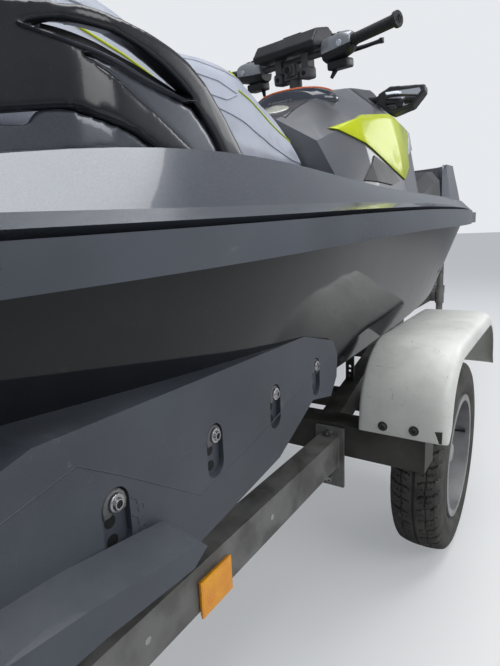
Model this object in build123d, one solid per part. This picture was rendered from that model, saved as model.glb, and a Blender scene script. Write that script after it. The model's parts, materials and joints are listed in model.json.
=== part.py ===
"""A three-seat personal watercraft strapped down on its single-axle trailer.

Millimetres. X runs forward to the bow, Y to port, Z up from the floor. The tables measure X from the
craft's stern; every piece is moved aft by MID at the end, so that the origin lies under the middle of
the whole. The craft's height is measured from KEEL, the height of its keel above the floor.
"""
import math
import os

from build123d import *

# Overall sizes
KEEL = 489.0               # height of the keel's flat above the floor
REAR_END = -200.0          # back face of the tail lamps
COUPLER_TIP = 4500.0
MID = (REAR_END + COUPLER_TIP) / 2
SEAM = 5.0                 # gap round a lid
FROM_BASE = (Align.CENTER, Align.CENTER, Align.MIN)    # a shape that starts at its origin and rises from it

# Bumper belt: its width behind the face
BELT = 30.0

# Columns: station, half beam at the bumper, bumper low and high, gunwale half width, gunwale height
BEAM = [
    (0, 548, 908, 946, 455, 1000),
    (330, 577, 925, 965, 478, 1030),
    (620, 600, 932, 975, 500, 1069),
    (1150, 610, 949, 996, 511, 1066),
    (1900, 597, 960, 1014, 492, 1069),
    (2500, 536, 968, 1022, 436, 1084),
    (3000, 464, 973, 1027, 385, 1094),
    (3330, 405, 977, 1031, 330, 1096),
    (3490, 250, 979, 1033, 185, 1090),
    (3536, 110, 980, 1034, 80, 1085),
]
# Columns: station, keel height, chine half width, chine height, half width at the bond line
HULL = [
    (110, 0, 445, 148, 512),
    (620, 0, 470, 152, 562),
    (1150, 0, 470, 158, 572),
    (1900, 2, 448, 176, 556),
    (2500, 24, 380, 224, 492),
    (3000, 92, 235, 300, 405),
    (3330, 215, 110, 380, 330),
    (3480, 330, 40, 440, 190),
]
# Columns: station, half width and height at the base, at the shoulder and at the top
FAIRING = [
    (1560, 330, 1060, 232, 1235, 90, 1318),
    (1760, 375, 1060, 285, 1318, 130, 1410),
    (2050, 380, 1060, 312, 1365, 125, 1505),
    (2350, 345, 1070, 290, 1352, 122, 1556),
    (2600, 290, 1080, 232, 1320, 115, 1522),
    (2850, 235, 1080, 170, 1290, 95, 1440),
    (3080, 190, 1085, 130, 1245, 70, 1330),
]
# The black skirt round the front of the fairing. Columns: station, half width, height
SKIRT = [(2400, 330, 1135), (2700, 326, 1225), (2950, 296, 1252), (3150, 230, 1262)]
# Columns: station, half width at the base, base height, half width at the top, crown height
SEAT_REAR = [(395, 150, 1120, 100, 1325), (520, 200, 1120, 138, 1400), (900, 210, 1120, 145, 1424),
             (985, 208, 1120, 140, 1405)]
SEAT_FRONT = [(990, 208, 1120, 140, 1400), (1120, 204, 1120, 132, 1420), (1350, 198, 1120, 122, 1436),
              (1480, 196, 1120, 116, 1411), (1552, 196, 1120, 108, 1386)]

BOW_INNER = (3506, 136, 979, 1033, 95, 1087)       # the deck's own front end, behind the bumper
SEAT_BASE = 1119.7
HOOD = (2110, 3000, 225, 160)                      # x from, x to, half widths there
HOOD_SKIN = 30.0
HOOD_HINGE = (3014, 1376)                          # x and height of its pin
GLOVE_HINGE = (1757, 1417)
GLOVE = (1608, 1735, 85, 1180)                     # x from, x to, half width, floor
SLOTS, SLOT_X, SLOT_Z, SLOT_PITCH = 4, 408.0, 695.5, 171.0
SLOT_WIDTH, SLOT_LENGTH, SLOT_DEPTH = 36.0, 72.0, 9.0

COWL_Z = 1312.0
COWL_LOW = [(3060, 338), (3330, 345), (3440, 262), (3498, 160), (3518, 70)]
COWL_TOP = [(3225, 272), (3350, 284), (3405, 228), (3432, 120), (3440, 60)]
COWL_ROOM = [(2950, 292), (3200, 296), (3310, 225), (3360, 140), (3375, 60)]
COWL_MOUTH = [(3100, 236), (3300, 246), (3352, 190), (3378, 100), (3385, 50)]

SPONSON = [(255, 640), (480, 590), (760, 605), (905, 655), (1000, 632), (1034, 664), (1040, 712),
           (1015, 745), (870, 783), (330, 806), (230, 780)]       # its outline, along and up

FIN = [(236, 642), (244, 700), (330, 690), (462, 668), (486, 648), (452, 630), (340, 640)]

# Steering
BAR_X, BAR_Z = 1866.0, 1580.0
RAKE = 8.0                 # column leans aft
STEER_REST = 10.0          # turned to starboard as it stands
BAR_R, GRIP_R, COLUMN_R = 11.0, 18.0, 24.0
BEND, SWEEP, RISE = 150.0, 40.0, 20.0    # where the bar bends, and how far its ends go aft and up
GRIP_OUT, GRIP_IN = 434.0, 262.0

# Jet drive
PUMP_Z = KEEL + 105
PUMP_R = 84.0
BORE_R, HUB_R, SHAFT_R = 76.0, 28.0, 14.0
BLADES, STATOR_VANES = 4, 5
TUNNEL_HALF = 118.0
NOZZLE_X = 168.0           # vertical pivot of the nozzle
GATE_X, GATE_Z = 100.0, PUMP_Z + 30
GATE_IN, GATE_OUT = 115.0, 122.0

# Trailer
WHEEL_X = 1594.0
TYRE_R, TYRE_W = 284.0, 140.0
WHEEL_OUT = 680.0          # outer face of the tyre
RIM_R = 182.0
RAIL_OUT, RAIL_W, RAIL_H, RAIL_Z = 455.0, 50.0, 80.0, 415.0
BEAM_X = 1233.0            # cross beam that carries the back of the fenders
BEAM_Z = 435.0
BRACKET_X = 1594.0
FENDER_IN, FENDER_OUT = 505.0, 715.0
FENDER_TOP, FENDER_END = 690.0, 1965.0
DRAW_X0 = 2950.0
BOW_STOP = (3516.0, 868.0)
JOCKEY_X, JOCKEY_Y = 4020.0, -95.0
JOCKEY_R = 100.0
LEG_R, KINGPIN_R = 24.0, 10.0


def section(x, half):
    """A closed face across the craft, mirrored from one side's outline of (y, z) points."""
    points = half + [(-y, z) for y, z in reversed(half) if y > 0]
    return make_face(Polyline(*[(x, y, z) for y, z in points], close=True))


def skin(rows, outline, ruled=False):
    """A solid through the outlines of a table's rows."""
    return loft([section(row[0], outline(row)) for row in rows], ruled=ruled)


def block(x0, x1, y0, y1, z0, z1):
    return Pos((x0 + x1) / 2, (y0 + y1) / 2, (z0 + z1) / 2) * Box(x1 - x0, y1 - y0, z1 - z0)


def rod(start, end, radius):
    """A round bar between two points."""
    line = Vector(*end) - Vector(*start)
    return Plane(origin=start, z_dir=line) * Cylinder(radius, line.length, align=FROM_BASE)


def bar(start, end, width, height):
    """A square bar between two points; its width is level and its height is upright."""
    line = Vector(*end) - Vector(*start)
    level = Vector(0, 0, 1).cross(line)
    if level.length < 1e-6:
        level = Vector(0, 1, 0)
    plane = Plane(origin=start, x_dir=level, z_dir=line)
    return plane * Box(width, height, line.length, align=FROM_BASE)


def disc(x, y, z, radius, length):
    """A cylinder across the craft, from y outwards to y + length."""
    return Pos(x, y, z) * Rot(-90, 0, 0) * Cylinder(radius, length, align=FROM_BASE)


def tube(points, radius, radii):
    path = FilletPolyline(*points, radius=radii)
    return sweep(Plane(origin=path @ 0, z_dir=path % 0) * Circle(radius), path=path)


def both(shape):
    """The shape and its twin on the other side, as one part."""
    return Compound([shape, mirror(shape, about=Plane.XZ)])


def at(table, x, column):
    for low, high in zip(table, table[1:]):
        if low[0] <= x <= high[0]:
            share = (x - low[0]) / (high[0] - low[0])
            return low[column] + share * (high[column] - low[column])
    return table[0][column] if x < table[0][0] else table[-1][column]


def hull_outline(row):
    x, keel, chine_y, chine_z, side = row
    low = at(BEAM, x, 2)
    chine = KEEL + chine_z
    return [(0, KEEL + keel), (chine_y, chine), (chine_y + 10, chine + 8), (side, low), (0, low)]


def deck_outline(row):
    x, beam, low, high, gun_y, gun_z = row
    inner = beam - BELT
    return [(0, low), (inner, low), (inner, high), (beam - 14, high + 8), (gun_y + 42, high + 22),
            (gun_y, gun_z), (gun_y - 45, gun_z + 8), (0, gun_z + 8)]


def belt_outline(row):
    x, beam, low, high = row[:4]
    return [(0, low), (beam, low), (beam, high), (0, high)]


def fairing_outline(row):
    x, base_y, base_z, sh_y, sh_z, top_y, top_z = row
    return [(0, base_z), (base_y, base_z), (sh_y, sh_z), (top_y, top_z), (0, top_z + 12)]


def seat_outline(row):
    x, base_y, base_z, top_y, crown = row
    return [(0, base_z), (base_y, base_z), (base_y + 6, base_z + 60), (top_y + 12, crown - 60),
            (top_y - 25, crown - 20), (0, crown)]


# Footwells, the bins and the room for the engine
WELL = (905, 2130, 222, 440, 822)       # x from, x to, y from, y to, floor
WELL_WALL = 12.0
HULL_GAP = 28.0                         # between the tubs and the hull round them
BIN = (2260, 2700, 150, 860)            # x from, x to, half width, floor
ENGINE = (1350, 2000, 180, KEEL + 75, KEEL + 500)
STERN_STEP = (330, 1003)                # the platform's front end and its height


def well(grow, side):
    """One footwell, or with grow the room that its tub takes."""
    x0, x1, y0, y1, floor = WELL
    form = block(x0 - grow, x1 + grow, y0 - grow, y1 + grow, floor - grow, 1200)
    return form if side > 0 else mirror(form, about=Plane.XZ)


def bin_room(grow, top):
    x0, x1, half, floor = BIN
    return block(x0 - grow, x1 + grow, -half - grow, half + grow, floor - grow, top)


def engine_room():
    x0, x1, half, low, high = ENGINE
    return block(x0, x1, -half - 20, half + 20, low, high + 10)


def deck_form():
    return skin(BEAM[:-1] + [BOW_INNER], deck_outline)


def hull():
    body = skin(HULL, hull_outline) - deck_form() - skin(BEAM, belt_outline)
    body -= block(0, 760, -TUNNEL_HALF, TUNNEL_HALF, KEEL - 20, PUMP_Z + PUMP_R + 12)
    body -= block(521, 772, -TUNNEL_HALF - 24, TUNNEL_HALF + 24, KEEL + 16, PUMP_Z + PUMP_R + 36)
    body -= engine_room() + bin_room(WELL_WALL + HULL_GAP, 1200) + along_x(755, 800, SHAFT_R + 0.05)
    for side in (1, -1):
        body -= well(WELL_WALL + HULL_GAP, side)
    return body


def deck():
    tubs = (well(WELL_WALL, 1) + well(WELL_WALL, -1)) & block(0, 3600, -600, 600, 0, 960)
    top = deck_form() + tubs + bin_room(WELL_WALL, 980)
    top -= block(-10, STERN_STEP[0], -600, 600, STERN_STEP[1], 1200)
    for side in (1, -1):
        top -= well(0, side)
    top += block(345, 1620, -WELL[2], WELL[2], 1000, SEAT_BASE)
    return top - bin_room(0, 1300) - engine_room()


def bumper():
    aft = (-40,) + BEAM[0][1:]
    rows = [aft] + BEAM[1:-1] + [BOW_INNER]
    inner = skin([(r[0], r[1] - BELT, r[2] - 40, r[3] + 40) for r in rows], belt_outline)
    return skin(BEAM, belt_outline) - inner


def fairing_form(grow=0.0):
    """The front body before anything is cut from it, or with grow the same with its skin further out."""
    rows = []
    for x, base_y, base_z, sh_y, sh_z, top_y, top_z in FAIRING:
        rows.append((x, base_y + grow, base_z, sh_y + grow, sh_z + grow, top_y + grow, top_z + grow))
    return skin(rows, fairing_outline, ruled=True)


def hood_room(grow):
    """The column over the bow bin that the hood lid fills, down to the lid's underside."""
    back, front, wide, narrow = HOOD[0] - grow, HOOD[1] + grow, HOOD[2] + grow, HOOD[3] + grow
    plan = make_face(Polyline((back, wide), (front, narrow), (front, -narrow), (back, -wide), close=True))
    under = []
    for x, _, _, _, sh_z, top_y, top_z in FAIRING:
        under.append((x, 600, 900, 600, sh_z - 60, top_y, top_z - HOOD_SKIN - grow))
    return extrude(Pos(0, 0, 1200) * plan, 600) - skin(under, fairing_outline, ruled=True)


def hinge_pin(hinge, half, pin):
    """Two lugs and the pin between them, across the middle of the craft."""
    x, z = hinge
    body = disc(x, -half, z, pin, 2 * half)
    for y in (-half, half - 12):
        body += disc(x, y, z, pin + 4, 12) + block(x - pin, x + pin, y, y + 12, z - 45, z)
    return body


def knuckle(hinge, half, pin, reach):
    """The lid's part of a hinge: an eye round the pin and the arm behind it, with the bore still to cut."""
    x, z = hinge
    return disc(x, -half, z, pin + 4, 2 * half) + block(x - reach, x, -half, half, z - pin - 9, z - 2)


def fairing(deck_solid):
    body = fairing_form() - deck_solid - hood_room(SEAM) - bin_room(0, 1700) - glove_room(0)
    body -= skin(SEAT_FRONT, seat_outline)
    body -= glove_lid_form(SEAM) + gauge_form() + column_base() + column_room()
    body -= disc(HOOD_HINGE[0], -46, HOOD_HINGE[1], 24, 92)
    body -= disc(GLOVE_HINGE[0], -36, GLOVE_HINGE[1], 14, 72)
    return body + hinge_pin(HOOD_HINGE, 60, 5) + hinge_pin(GLOVE_HINGE, 48, 4)


def hood_lid():
    lid = (fairing_form() & hood_room(0)) + knuckle(HOOD_HINGE, 42, 5, 30)
    return lid - disc(HOOD_HINGE[0], -60, HOOD_HINGE[1], 5.05, 120)


def nose_skirt(deck_solid, fairing_solid):
    """The black moulding that wraps the front of the fairing, down to the deck."""
    def outline(row):
        x, half, top = row
        return [(0, 1050), (half + 16, 1050), (half, top - 50), (half - 40, top), (0, top + 6)]
    wrap = skin(SKIRT, outline, ruled=True)
    return wrap - fairing_form() - deck_solid - bin_room(0, 1700) - fairing_solid


def cowl_plan(points, z):
    ring = points + [(x, -y) for x, y in reversed(points)]
    return make_face(Polyline(*[(x, y, z) for x, y in ring], close=True))


def bow_cowl(deck_solid, skirt):
    """The raised prow: a wall round the bow, open behind, that slopes up from the side decks."""
    outer = loft([cowl_plan(COWL_LOW, 1070), cowl_plan(COWL_TOP, COWL_Z)], ruled=True)
    room = loft([cowl_plan(COWL_ROOM, 1040), cowl_plan(COWL_MOUTH, COWL_Z + 40)], ruled=True)
    return outer - room - deck_solid - skirt


def side_patch(outline, depth):
    """A panel laid on both flanks of the fairing; its outline is a list of (x, z) points."""
    face = make_face(Polyline(*[(x, 0, z) for x, z in outline], close=True))
    prism = extrude(face, 500, dir=(0, -1, 0))
    panel = prism & (fairing_form(depth) - fairing_form())
    return both(panel)


def glove_room(grow):
    x0, x1, half, floor = GLOVE
    return block(x0 - grow, x1 + grow, -half - grow, half + grow, floor - grow, 1500)


def glove_lid_form(grow):
    x0, x1, half, floor = GLOVE
    back, front, z0 = x0 - 16 - grow, x1 + 14 + grow, 1322.0
    profile = make_face(Polyline((back, 0, z0 - 6 - grow), (front, 0, z0 + 70 - grow),
                                 (front, 0, z0 + 136), (back, 0, z0 + 56), close=True))
    half += 20 + grow
    lid = Pos(0, half, 0) * extrude(profile, 2 * half, dir=(0, -1, 0))
    return lid & fairing_form() if grow == 0 else lid


def glove_lid():
    lid = glove_lid_form(0) + knuckle(GLOVE_HINGE, 32, 4, 12)
    return lid - disc(GLOVE_HINGE[0], -60, GLOVE_HINGE[1], 4.05, 120)


def gauge_form():
    """The instrument hood between the glove box and the column, domed across."""
    dome = Pos(1850, 0, 1420) * scale(Sphere(1), (96, 180, 60)) & block(1775, 1930, -190, 190, 1400, 1500)
    return dome - column_room()


HANDLE_SIDE, HANDLE_BACK = 405, 322     # the middle of its wall, across and along


def band(half):
    """A wall that follows the grab handle's plan, a U behind the seat, given half its thickness."""
    loops = []
    for grow in (half, -half):
        wide, back = HANDLE_SIDE + grow, HANDLE_BACK - grow
        path = FilletPolyline((900, wide), (560, wide), (back, 205), (back, -205), (560, -wide), (900, -wide),
                              radius=110)
        loops.append(make_face(path + Line(path @ 1, path @ 0)))
    return extrude(Pos(0, 0, 1000) * (loops[0] - loops[1]), 300)


def side_prism(points, y0, y1):
    """An upright plate of the given (x, z) outline, between two distances across."""
    face = make_face(Polyline(*[(x, y1, z) for x, z in points], close=True))
    return extrude(face, y1 - y0, dir=(0, -1, 0))


# The handle's moulding seen from the side: its arch over the opening, and the limb below it
MOULDING = [(280, 1100), (280, 1222), (430, 1228), (552, 1233), (655, 1229), (703, 1221), (735, 1212),
            (768, 1193), (799, 1166), (824, 1144), (856, 1112), (890, 1070), (826, 1070), (786, 1119),
            (763, 1137), (737, 1158), (722, 1156), (582, 1180), (549, 1181), (595, 1160), (644, 1135),
            (729, 1090), (735, 1062), (680, 1070), (621, 1098), (555, 1113), (535, 1119), (478, 1112),
            (433, 1105)]
SPINDLE = [(500, 1206), (556, 1210), (594, 1211), (635, 1206), (680, 1194), (710, 1180), (742, 1160),
           (722, 1156), (630, 1170), (547, 1188)]
HAUNCH = [(330, 1030), (330, 1095), (433, 1100), (500, 1100), (530, 1150), (560, 1183), (722, 1156),
          (742, 1152), (800, 1112), (850, 1070), (850, 1030)]
HAND_GRIP = (1135, 1190, 170)          # the slot behind the seat: low, high, half width


def handle(deck_solid):
    """The grab handle: one moulding round the back of the seat, split into an arch and a lower limb."""
    shape = band(17) & side_prism(MOULDING, -600, 600)
    shape -= side_prism(SPINDLE, -600, 600)
    low, high, half = HAND_GRIP
    return shape - block(250, 370, -half, half, low, high) - deck_solid


def haunches(handle_solid, deck_solid):
    """The deck-coloured panels that stand inside the moulding on both sides."""
    panel = band(8) & side_prism(HAUNCH, -600, 600)
    return panel - handle_solid - side_prism(SPINDLE, -600, 600) - deck_solid


def sponson_half(x):
    """Half width over the sponsons at a station."""
    return 571 - (x - 230) * 0.066


def sponson(side):
    """A blade on the hull's flank with four slotted recesses and a lower fin."""
    def slab_outline(row):
        half = sponson_half(row[0])
        return [(0, KEEL), (half, KEEL), (half, 900), (0, 900)]
    face = make_face(Polyline(*[(x, 0, z) for x, z in SPONSON], close=True))
    slab = skin(HULL, slab_outline, ruled=True)
    blade = (Pos(0, -446, 0) * extrude(face, 300, dir=(0, -1, 0)) & slab) - skin(HULL, hull_outline)
    for i in range(SLOTS):
        x = SLOT_X + i * SLOT_PITCH
        face = Plane(origin=(x, SLOT_DEPTH - sponson_half(x), SLOT_Z), x_dir=(0, 0, 1), z_dir=(0, -1, 0))
        blade -= extrude(face * SlotOverall(SLOT_LENGTH, SLOT_WIDTH), 30)
    root = make_face(Polyline(*[(x, 0, z) for x, z in FIN], close=True))
    blade += Pos(0, -sponson_half(260) + 6, 0) * extrude(root, 52, dir=(0, -1, 0), taper=8)
    blade = max(blade.solids(), key=lambda solid: solid.volume)
    return blade if side < 0 else mirror(blade, about=Plane.XZ)


def spun(shape):
    """A handlebar piece, from the bar's own axes to its place, turned as it stands."""
    return Pos(BAR_X, 0, BAR_Z) * Rot(0, -RAKE, 0) * Rot(0, 0, -STEER_REST) * shape


def along_bar(y):
    """The bar's middle line at a distance across, in its own axes."""
    share = max(0.0, abs(y) - BEND) / (GRIP_OUT - BEND)
    return (-SWEEP * share, y, RISE * share)


def bar_tube():
    end = GRIP_OUT - 6
    return tube([along_bar(-end), along_bar(-BEND), along_bar(BEND), along_bar(end)], BAR_R, [80, 80])


def upright(radius, low, high):
    """A round piece on the steering axis."""
    return Pos(0, 0, low) * Cylinder(radius, high - low, align=FROM_BASE)


def handlebar():
    yoke = block(-26, 26, -30, 30, -60, -8) + block(-18, 18, -76, 76, -60, -40)
    yoke += block(-20, 20, -76, -46, -52, 14) + block(-20, 20, 46, 76, -52, 14)
    return spun(upright(COLUMN_R, -166, -20) + yoke + bar_tube())


def bar_pad():
    profile = make_face(Polyline((0, -74, 16), (0, 66, 16), (0, 74, 34), (0, 40, 74), (0, -30, 84),
                                 (0, -80, 50), close=True))
    pad = Rot(0, 0, 90) * Pos(-138, 0, 0) * extrude(profile, 276, dir=(1, 0, 0))
    return spun(pad - bar_tube())


def housing(side):
    box = block(-36, 44, 140, GRIP_IN - 2, -38, 40)
    box = fillet(box.edges().filter_by(Axis.Y).group_by(Axis.X)[-1], 10) - bar_tube()
    box += bar((50, 176, -6), (52, 330, -4), 14, 10) + block(30, 58, 164, 186, -16, 2)
    return box if side > 0 else mirror(box, about=Plane.XZ)


def grip(side):
    body = rod(along_bar(GRIP_IN + 4), along_bar(GRIP_OUT), GRIP_R)
    body += rod(along_bar(GRIP_OUT - 12), along_bar(GRIP_OUT), GRIP_R + 6)
    body -= bar_tube()
    return body if side > 0 else mirror(body, about=Plane.XZ)


def column_room():
    return Pos(BAR_X, 0, BAR_Z) * Rot(0, -RAKE, 0) * upright(56, -195, 5)


def column_base():
    """The fixed steering head that the column turns in, on its flange."""
    head = upright(44, -200, -130) + upright(54, -215, -195) - upright(COLUMN_R + 0.05, -170, -100)
    return Pos(BAR_X, 0, BAR_Z) * Rot(0, -RAKE, 0) * head


MIRROR_FACE = Plane(origin=(2165, -316, 1463), x_dir=(0.05, -1, 0), z_dir=(-1, -0.05, 0.06))
MIRROR_SHELL = [(-96, 26), (-51, 48), (83, 33), (84, 10), (42, -40), (-36, -60), (-104, -24)]
MIRROR_GLASS = [(-66, 27), (64, 22), (69, 10), (37, -30), (-40, -42), (-62, -24)]


def mirror_shells(hood_solid):
    shell = MIRROR_FACE * extrude(make_face(Polyline(*MIRROR_SHELL, close=True)), -58)
    stalk = bar((2200, -170, 1470), (2200, -240, 1466), 56, 34)
    clear = fairing_form(SEAM + 1) - hood_room(0)
    piece = shell + stalk - hood_solid - clear
    return both(max(piece.solids(), key=lambda solid: solid.volume))


def mirror_glasses():
    return both(MIRROR_FACE * extrude(make_face(Polyline(*MIRROR_GLASS, close=True)), 3))


def engine_block():
    x0, x1, half, low, high = ENGINE
    return block(x0 + 20, x1 - 20, -half, half, low, high - 10)


def mats():
    x0, x1, y0, y1, floor = WELL
    mat = block(x0 + 12, x1 - 12, y0 + 12, y1 - 12, floor, floor + 6)
    stern = block(20, STERN_STEP[0] - 12, -430, 430, STERN_STEP[1], STERN_STEP[1] + 6)
    return Compound([mat, mirror(mat, about=Plane.XZ), stern])


def ride_plate():
    plate = block(120, 430, -TUNNEL_HALF + 2, TUNNEL_HALF - 2, KEEL + 1, KEEL + 9)
    for y in (-70, 0, 70):
        plate += block(140, 410, y - 4, y + 4, KEEL - 9, KEEL + 1)
    return plate


def intake_grate():
    frame = block(430, 750, -TUNNEL_HALF + 2, TUNNEL_HALF - 2, KEEL + 1, KEEL + 11)
    frame -= block(455, 725, -92, 92, KEEL, KEEL + 20)
    for y in (-55, 0, 55):
        frame += block(450, 730, y - 5, y + 5, KEEL + 1, KEEL + 11)
    return frame


def along_x(x0, x1, radius):
    """A cylinder along the craft on the pump's axis."""
    return Pos(x0, 0, PUMP_Z) * Rot(0, 90, 0) * Cylinder(radius, x1 - x0, align=FROM_BASE)


def pump():
    """A bored barrel on a flange, with the stator vanes that hold the impeller's rear bearing."""
    body = along_x(190, 520, PUMP_R)
    body += block(500, 520, -TUNNEL_HALF, TUNNEL_HALF, KEEL + 12, PUMP_Z + PUMP_R + 12)
    for side in (1, -1):
        body += block(GATE_X - 16, 300, *sorted((side * 88, side * 98)), GATE_Z - 16, GATE_Z + 16)
        body += block(240, 300, *sorted((side * 70, side * 98)), GATE_Z - 40, GATE_Z + 16)
        body += disc(GATE_X, min(side * 98, side * 113), GATE_Z, 8, 15)
        lug = block(NOZZLE_X - 14, 230, -14, 14, PUMP_R - 14, PUMP_R - 6)
        lug += Pos(NOZZLE_X, 0, 0) * upright(6, 64, 78)
        body += Pos(0, 0, PUMP_Z) * (lug if side > 0 else mirror(lug, about=Plane.XY))
    body -= along_x(180, 540, BORE_R)
    vanes = along_x(215, 318, HUB_R) + along_x(318, 360, 10)
    for i in range(STATOR_VANES):
        vane = block(225, 305, -3, 3, HUB_R - 4, BORE_R + 2)
        vanes += Pos(0, 0, PUMP_Z) * Rot(360 / STATOR_VANES * i, 0, 0) * vane
    return body + vanes


def blade():
    """One impeller blade on the pump's axis: a plate that twists from its root to its tip."""
    cuts = []
    for radius, pitch, length in ((HUB_R - 6, 58, 84), (50, 42, 88), (BORE_R - 4, 28, 92)):
        turn = math.radians(pitch)
        plane = Plane(origin=(0, 0, radius), x_dir=(math.cos(turn), math.sin(turn), 0), z_dir=(0, 0, 1))
        cuts.append(plane * Rectangle(length, 5))
    return loft(cuts)


def impeller():
    hub = along_x(322, 445, HUB_R) - along_x(320, 362, 10.05)
    for i in range(BLADES):
        hub += Pos(385, 0, PUMP_Z) * Rot(360 / BLADES * i, 0, 0) * blade()
    return (hub & along_x(322, 445, BORE_R - 4)) + along_x(440, 796, SHAFT_R)


def nozzle():
    aft = Plane(origin=(NOZZLE_X + 10, 0, PUMP_Z), z_dir=(-1, 0, 0))
    shell = aft * Cone(62, 46, 150, align=FROM_BASE) - aft * Cone(56, 40, 150, align=FROM_BASE)
    for side in (1, -1):
        boss = Pos(NOZZLE_X, 0, 58) * (Cylinder(12, 10, align=FROM_BASE))
        boss -= Pos(NOZZLE_X, 0, 50) * Cylinder(6.05, 30, align=FROM_BASE)
        shell += Pos(0, 0, PUMP_Z) * (boss if side > 0 else mirror(boss, about=Plane.XY))
    return Pos(NOZZLE_X, 0, 0) * Rot(0, 0, STEER_REST) * Pos(-NOZZLE_X, 0, 0) * shell


def sector(radius, low, high, thickness, y):
    """A pie slice about the gate's pivot, between two angles from straight ahead."""
    centre = (GATE_X, GATE_Z)
    reach = [(centre[0] + radius * math.cos(math.radians(a)), centre[1] + radius * math.sin(math.radians(a)))
             for a in (low, (low + high) / 2, high)]
    edge = ThreePointArc(*[(x, 0, z) for x, z in reach])
    hub = (centre[0], 0, centre[1])
    outline = edge + Line(edge @ 1, hub) + Line(hub, edge @ 0)
    return Pos(0, y + thickness, 0) * extrude(make_face(outline), thickness, dir=(0, -1, 0))


def reverse_gate():
    """A curved scoop between two cheeks, hung above the nozzle."""
    scoop = sector(GATE_OUT, 96, 150, 224, -112) - disc(GATE_X, -113, GATE_Z, GATE_IN, 226)
    for y in (106, -112):
        cheek = sector(GATE_OUT, 96, 150, 6, y) + disc(GATE_X, y, GATE_Z, 15, 6)
        scoop += cheek
    return scoop - disc(GATE_X, -130, GATE_Z, 8.05, 260)


def boarding_step():
    x, z = 60, 715
    step = rod((-40, -225, z + 178), (-40, 225, z + 178), 10) + block(-58, -22, -150, 150, z + 160, z + 196)
    for y in (-225, 225):
        step += rod((x, y, z), (-40, y, z + 178), 10)
        step += disc(x, min(y, y * 1.09), z, 14, abs(y) * 0.09)
    return step + disc(x, -264, z, 8, 528) - block(x - 9, x + 9, -200, 200, z - 9, z + 9)


def step_brackets():
    ear = block(44, 110, 252, 262, 695, 740) + block(104, 110, 200, 262, 695, 740)
    return both(ear - disc(60, 240, 715, 8.05, 40))


def eye(x, y, z, width):
    """A tow eye: a plate on edge with a 20 mm hole."""
    plate = block(x - width, x + width, y - 5, y + 5, z - 24, z + 24)
    return plate - disc(x, y - 6, z, 10, 12)


def tow_eyes(hull_solid):
    bow = eye(3412, 0, 730, 34) - hull_solid
    stern = eye(84, 330, 800, 26)
    return Compound([max(bow.solids(), key=lambda solid: solid.volume), stern, mirror(stern, about=Plane.XZ)])


# Trailer

def rails():
    z0, z1 = RAIL_Z - RAIL_H / 2, RAIL_Z + RAIL_H / 2
    rail = block(-150, 1185, RAIL_OUT - RAIL_W, RAIL_OUT, z0, z1)
    plate = block(1185, BEAM_X - 40, 395, 470, 320, 478)
    return both(rail + plate)


def cross_beams():
    main_beam = block(BEAM_X - 40, BEAM_X + 40, -665, 665, BEAM_Z - 30, BEAM_Z + 50)
    rear = block(-140, -80, -RAIL_OUT + RAIL_W, RAIL_OUT - RAIL_W, 380, 440)
    middle = block(420, 470, -RAIL_OUT + RAIL_W, RAIL_OUT - RAIL_W, 390, 440)
    tabs = both(block(BEAM_X - 40, BEAM_X - 34, 515, 700, BEAM_Z + 50, BEAM_Z + 77))
    return Compound([main_beam + tabs, rear, middle])


def chassis():
    """Two beams that run in from the cross beam to the drawbar."""
    side = bar((BEAM_X, 400, 435), (DRAW_X0 + 120, 64, 435), 50, 76)
    side -= block(BEAM_X - 100, BEAM_X + 40, 300, 500, 300, 600)
    return both(side) + block(2150, 2200, -225, 225, 400, 470)


def drawbar():
    return block(DRAW_X0, 4330, -37, 37, 397, 472)


def axle():
    tube_x = WHEEL_X + 120
    beam = block(tube_x - 30, tube_x + 30, -446, 446, 330, 390)
    arm = bar((tube_x, 462, 360), (WHEEL_X, 462, TYRE_R), 34, 60)
    stub = disc(WHEEL_X, 440, TYRE_R, 15, 185)
    return beam + both(arm + stub)


def rim(side):
    def ring(r0, r1, y0, y1):
        return disc(WHEEL_X, y0, TYRE_R, r1, y1 - y0) - disc(WHEEL_X, y0 - 1, TYRE_R, r0, y1 - y0 + 2)
    body = ring(164, 170, 550, 670) + ring(164, RIM_R, 544, 550) + ring(164, RIM_R, 670, 676)
    body += disc(WHEEL_X, 604, TYRE_R, 166, 6) + disc(WHEEL_X, 552, TYRE_R, 44, 90)
    body -= disc(WHEEL_X, 540, TYRE_R, 15.05, 90)
    return body if side > 0 else mirror(body, about=Plane.XZ)


def tyre(side):
    half = TYRE_W / 2
    mid = WHEEL_OUT - half
    flank = [(170, 60), (186, 60), (215, half), (252, half - 2), (278, half - 16), (TYRE_R, 40)]
    profile = Polyline(*flank, *[(r, -y) for r, y in reversed(flank)], close=True)
    face = Plane(origin=(WHEEL_X, mid, TYRE_R), x_dir=(1, 0, 0), z_dir=(0, 0, 1)) * make_face(profile)
    ring = revolve(face, axis=Axis((WHEEL_X, mid, TYRE_R), (0, 1, 0)), revolution_arc=360)
    return ring if side > 0 else mirror(ring, about=Plane.XZ)


def fender_face(inset):
    x0, x1, top = BEAM_X - 43 + inset, FENDER_END - inset, FENDER_TOP - inset
    foot = 480 - 4 * inset
    path = FilletPolyline((x0, foot), (x0, top), (x1, top), (x1, foot), radius=175 - inset)
    return make_face(path + Line(path @ 1, path @ 0))


def fenders():
    upright = Plane(origin=(0, FENDER_IN, 0), x_dir=(1, 0, 0), z_dir=(0, -1, 0))
    width = FENDER_OUT - FENDER_IN
    sheet = extrude(upright * fender_face(0), -width) - extrude(upright * fender_face(3), -width)
    return both(sheet)


def bunk_plank():
    return Pos(1150, 300, 563) * Rot(18.2, 0, 0) * Box(1600, 90, 36)


def bunks(hull_solid):
    return both(bunk_plank() - hull_solid)


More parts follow.
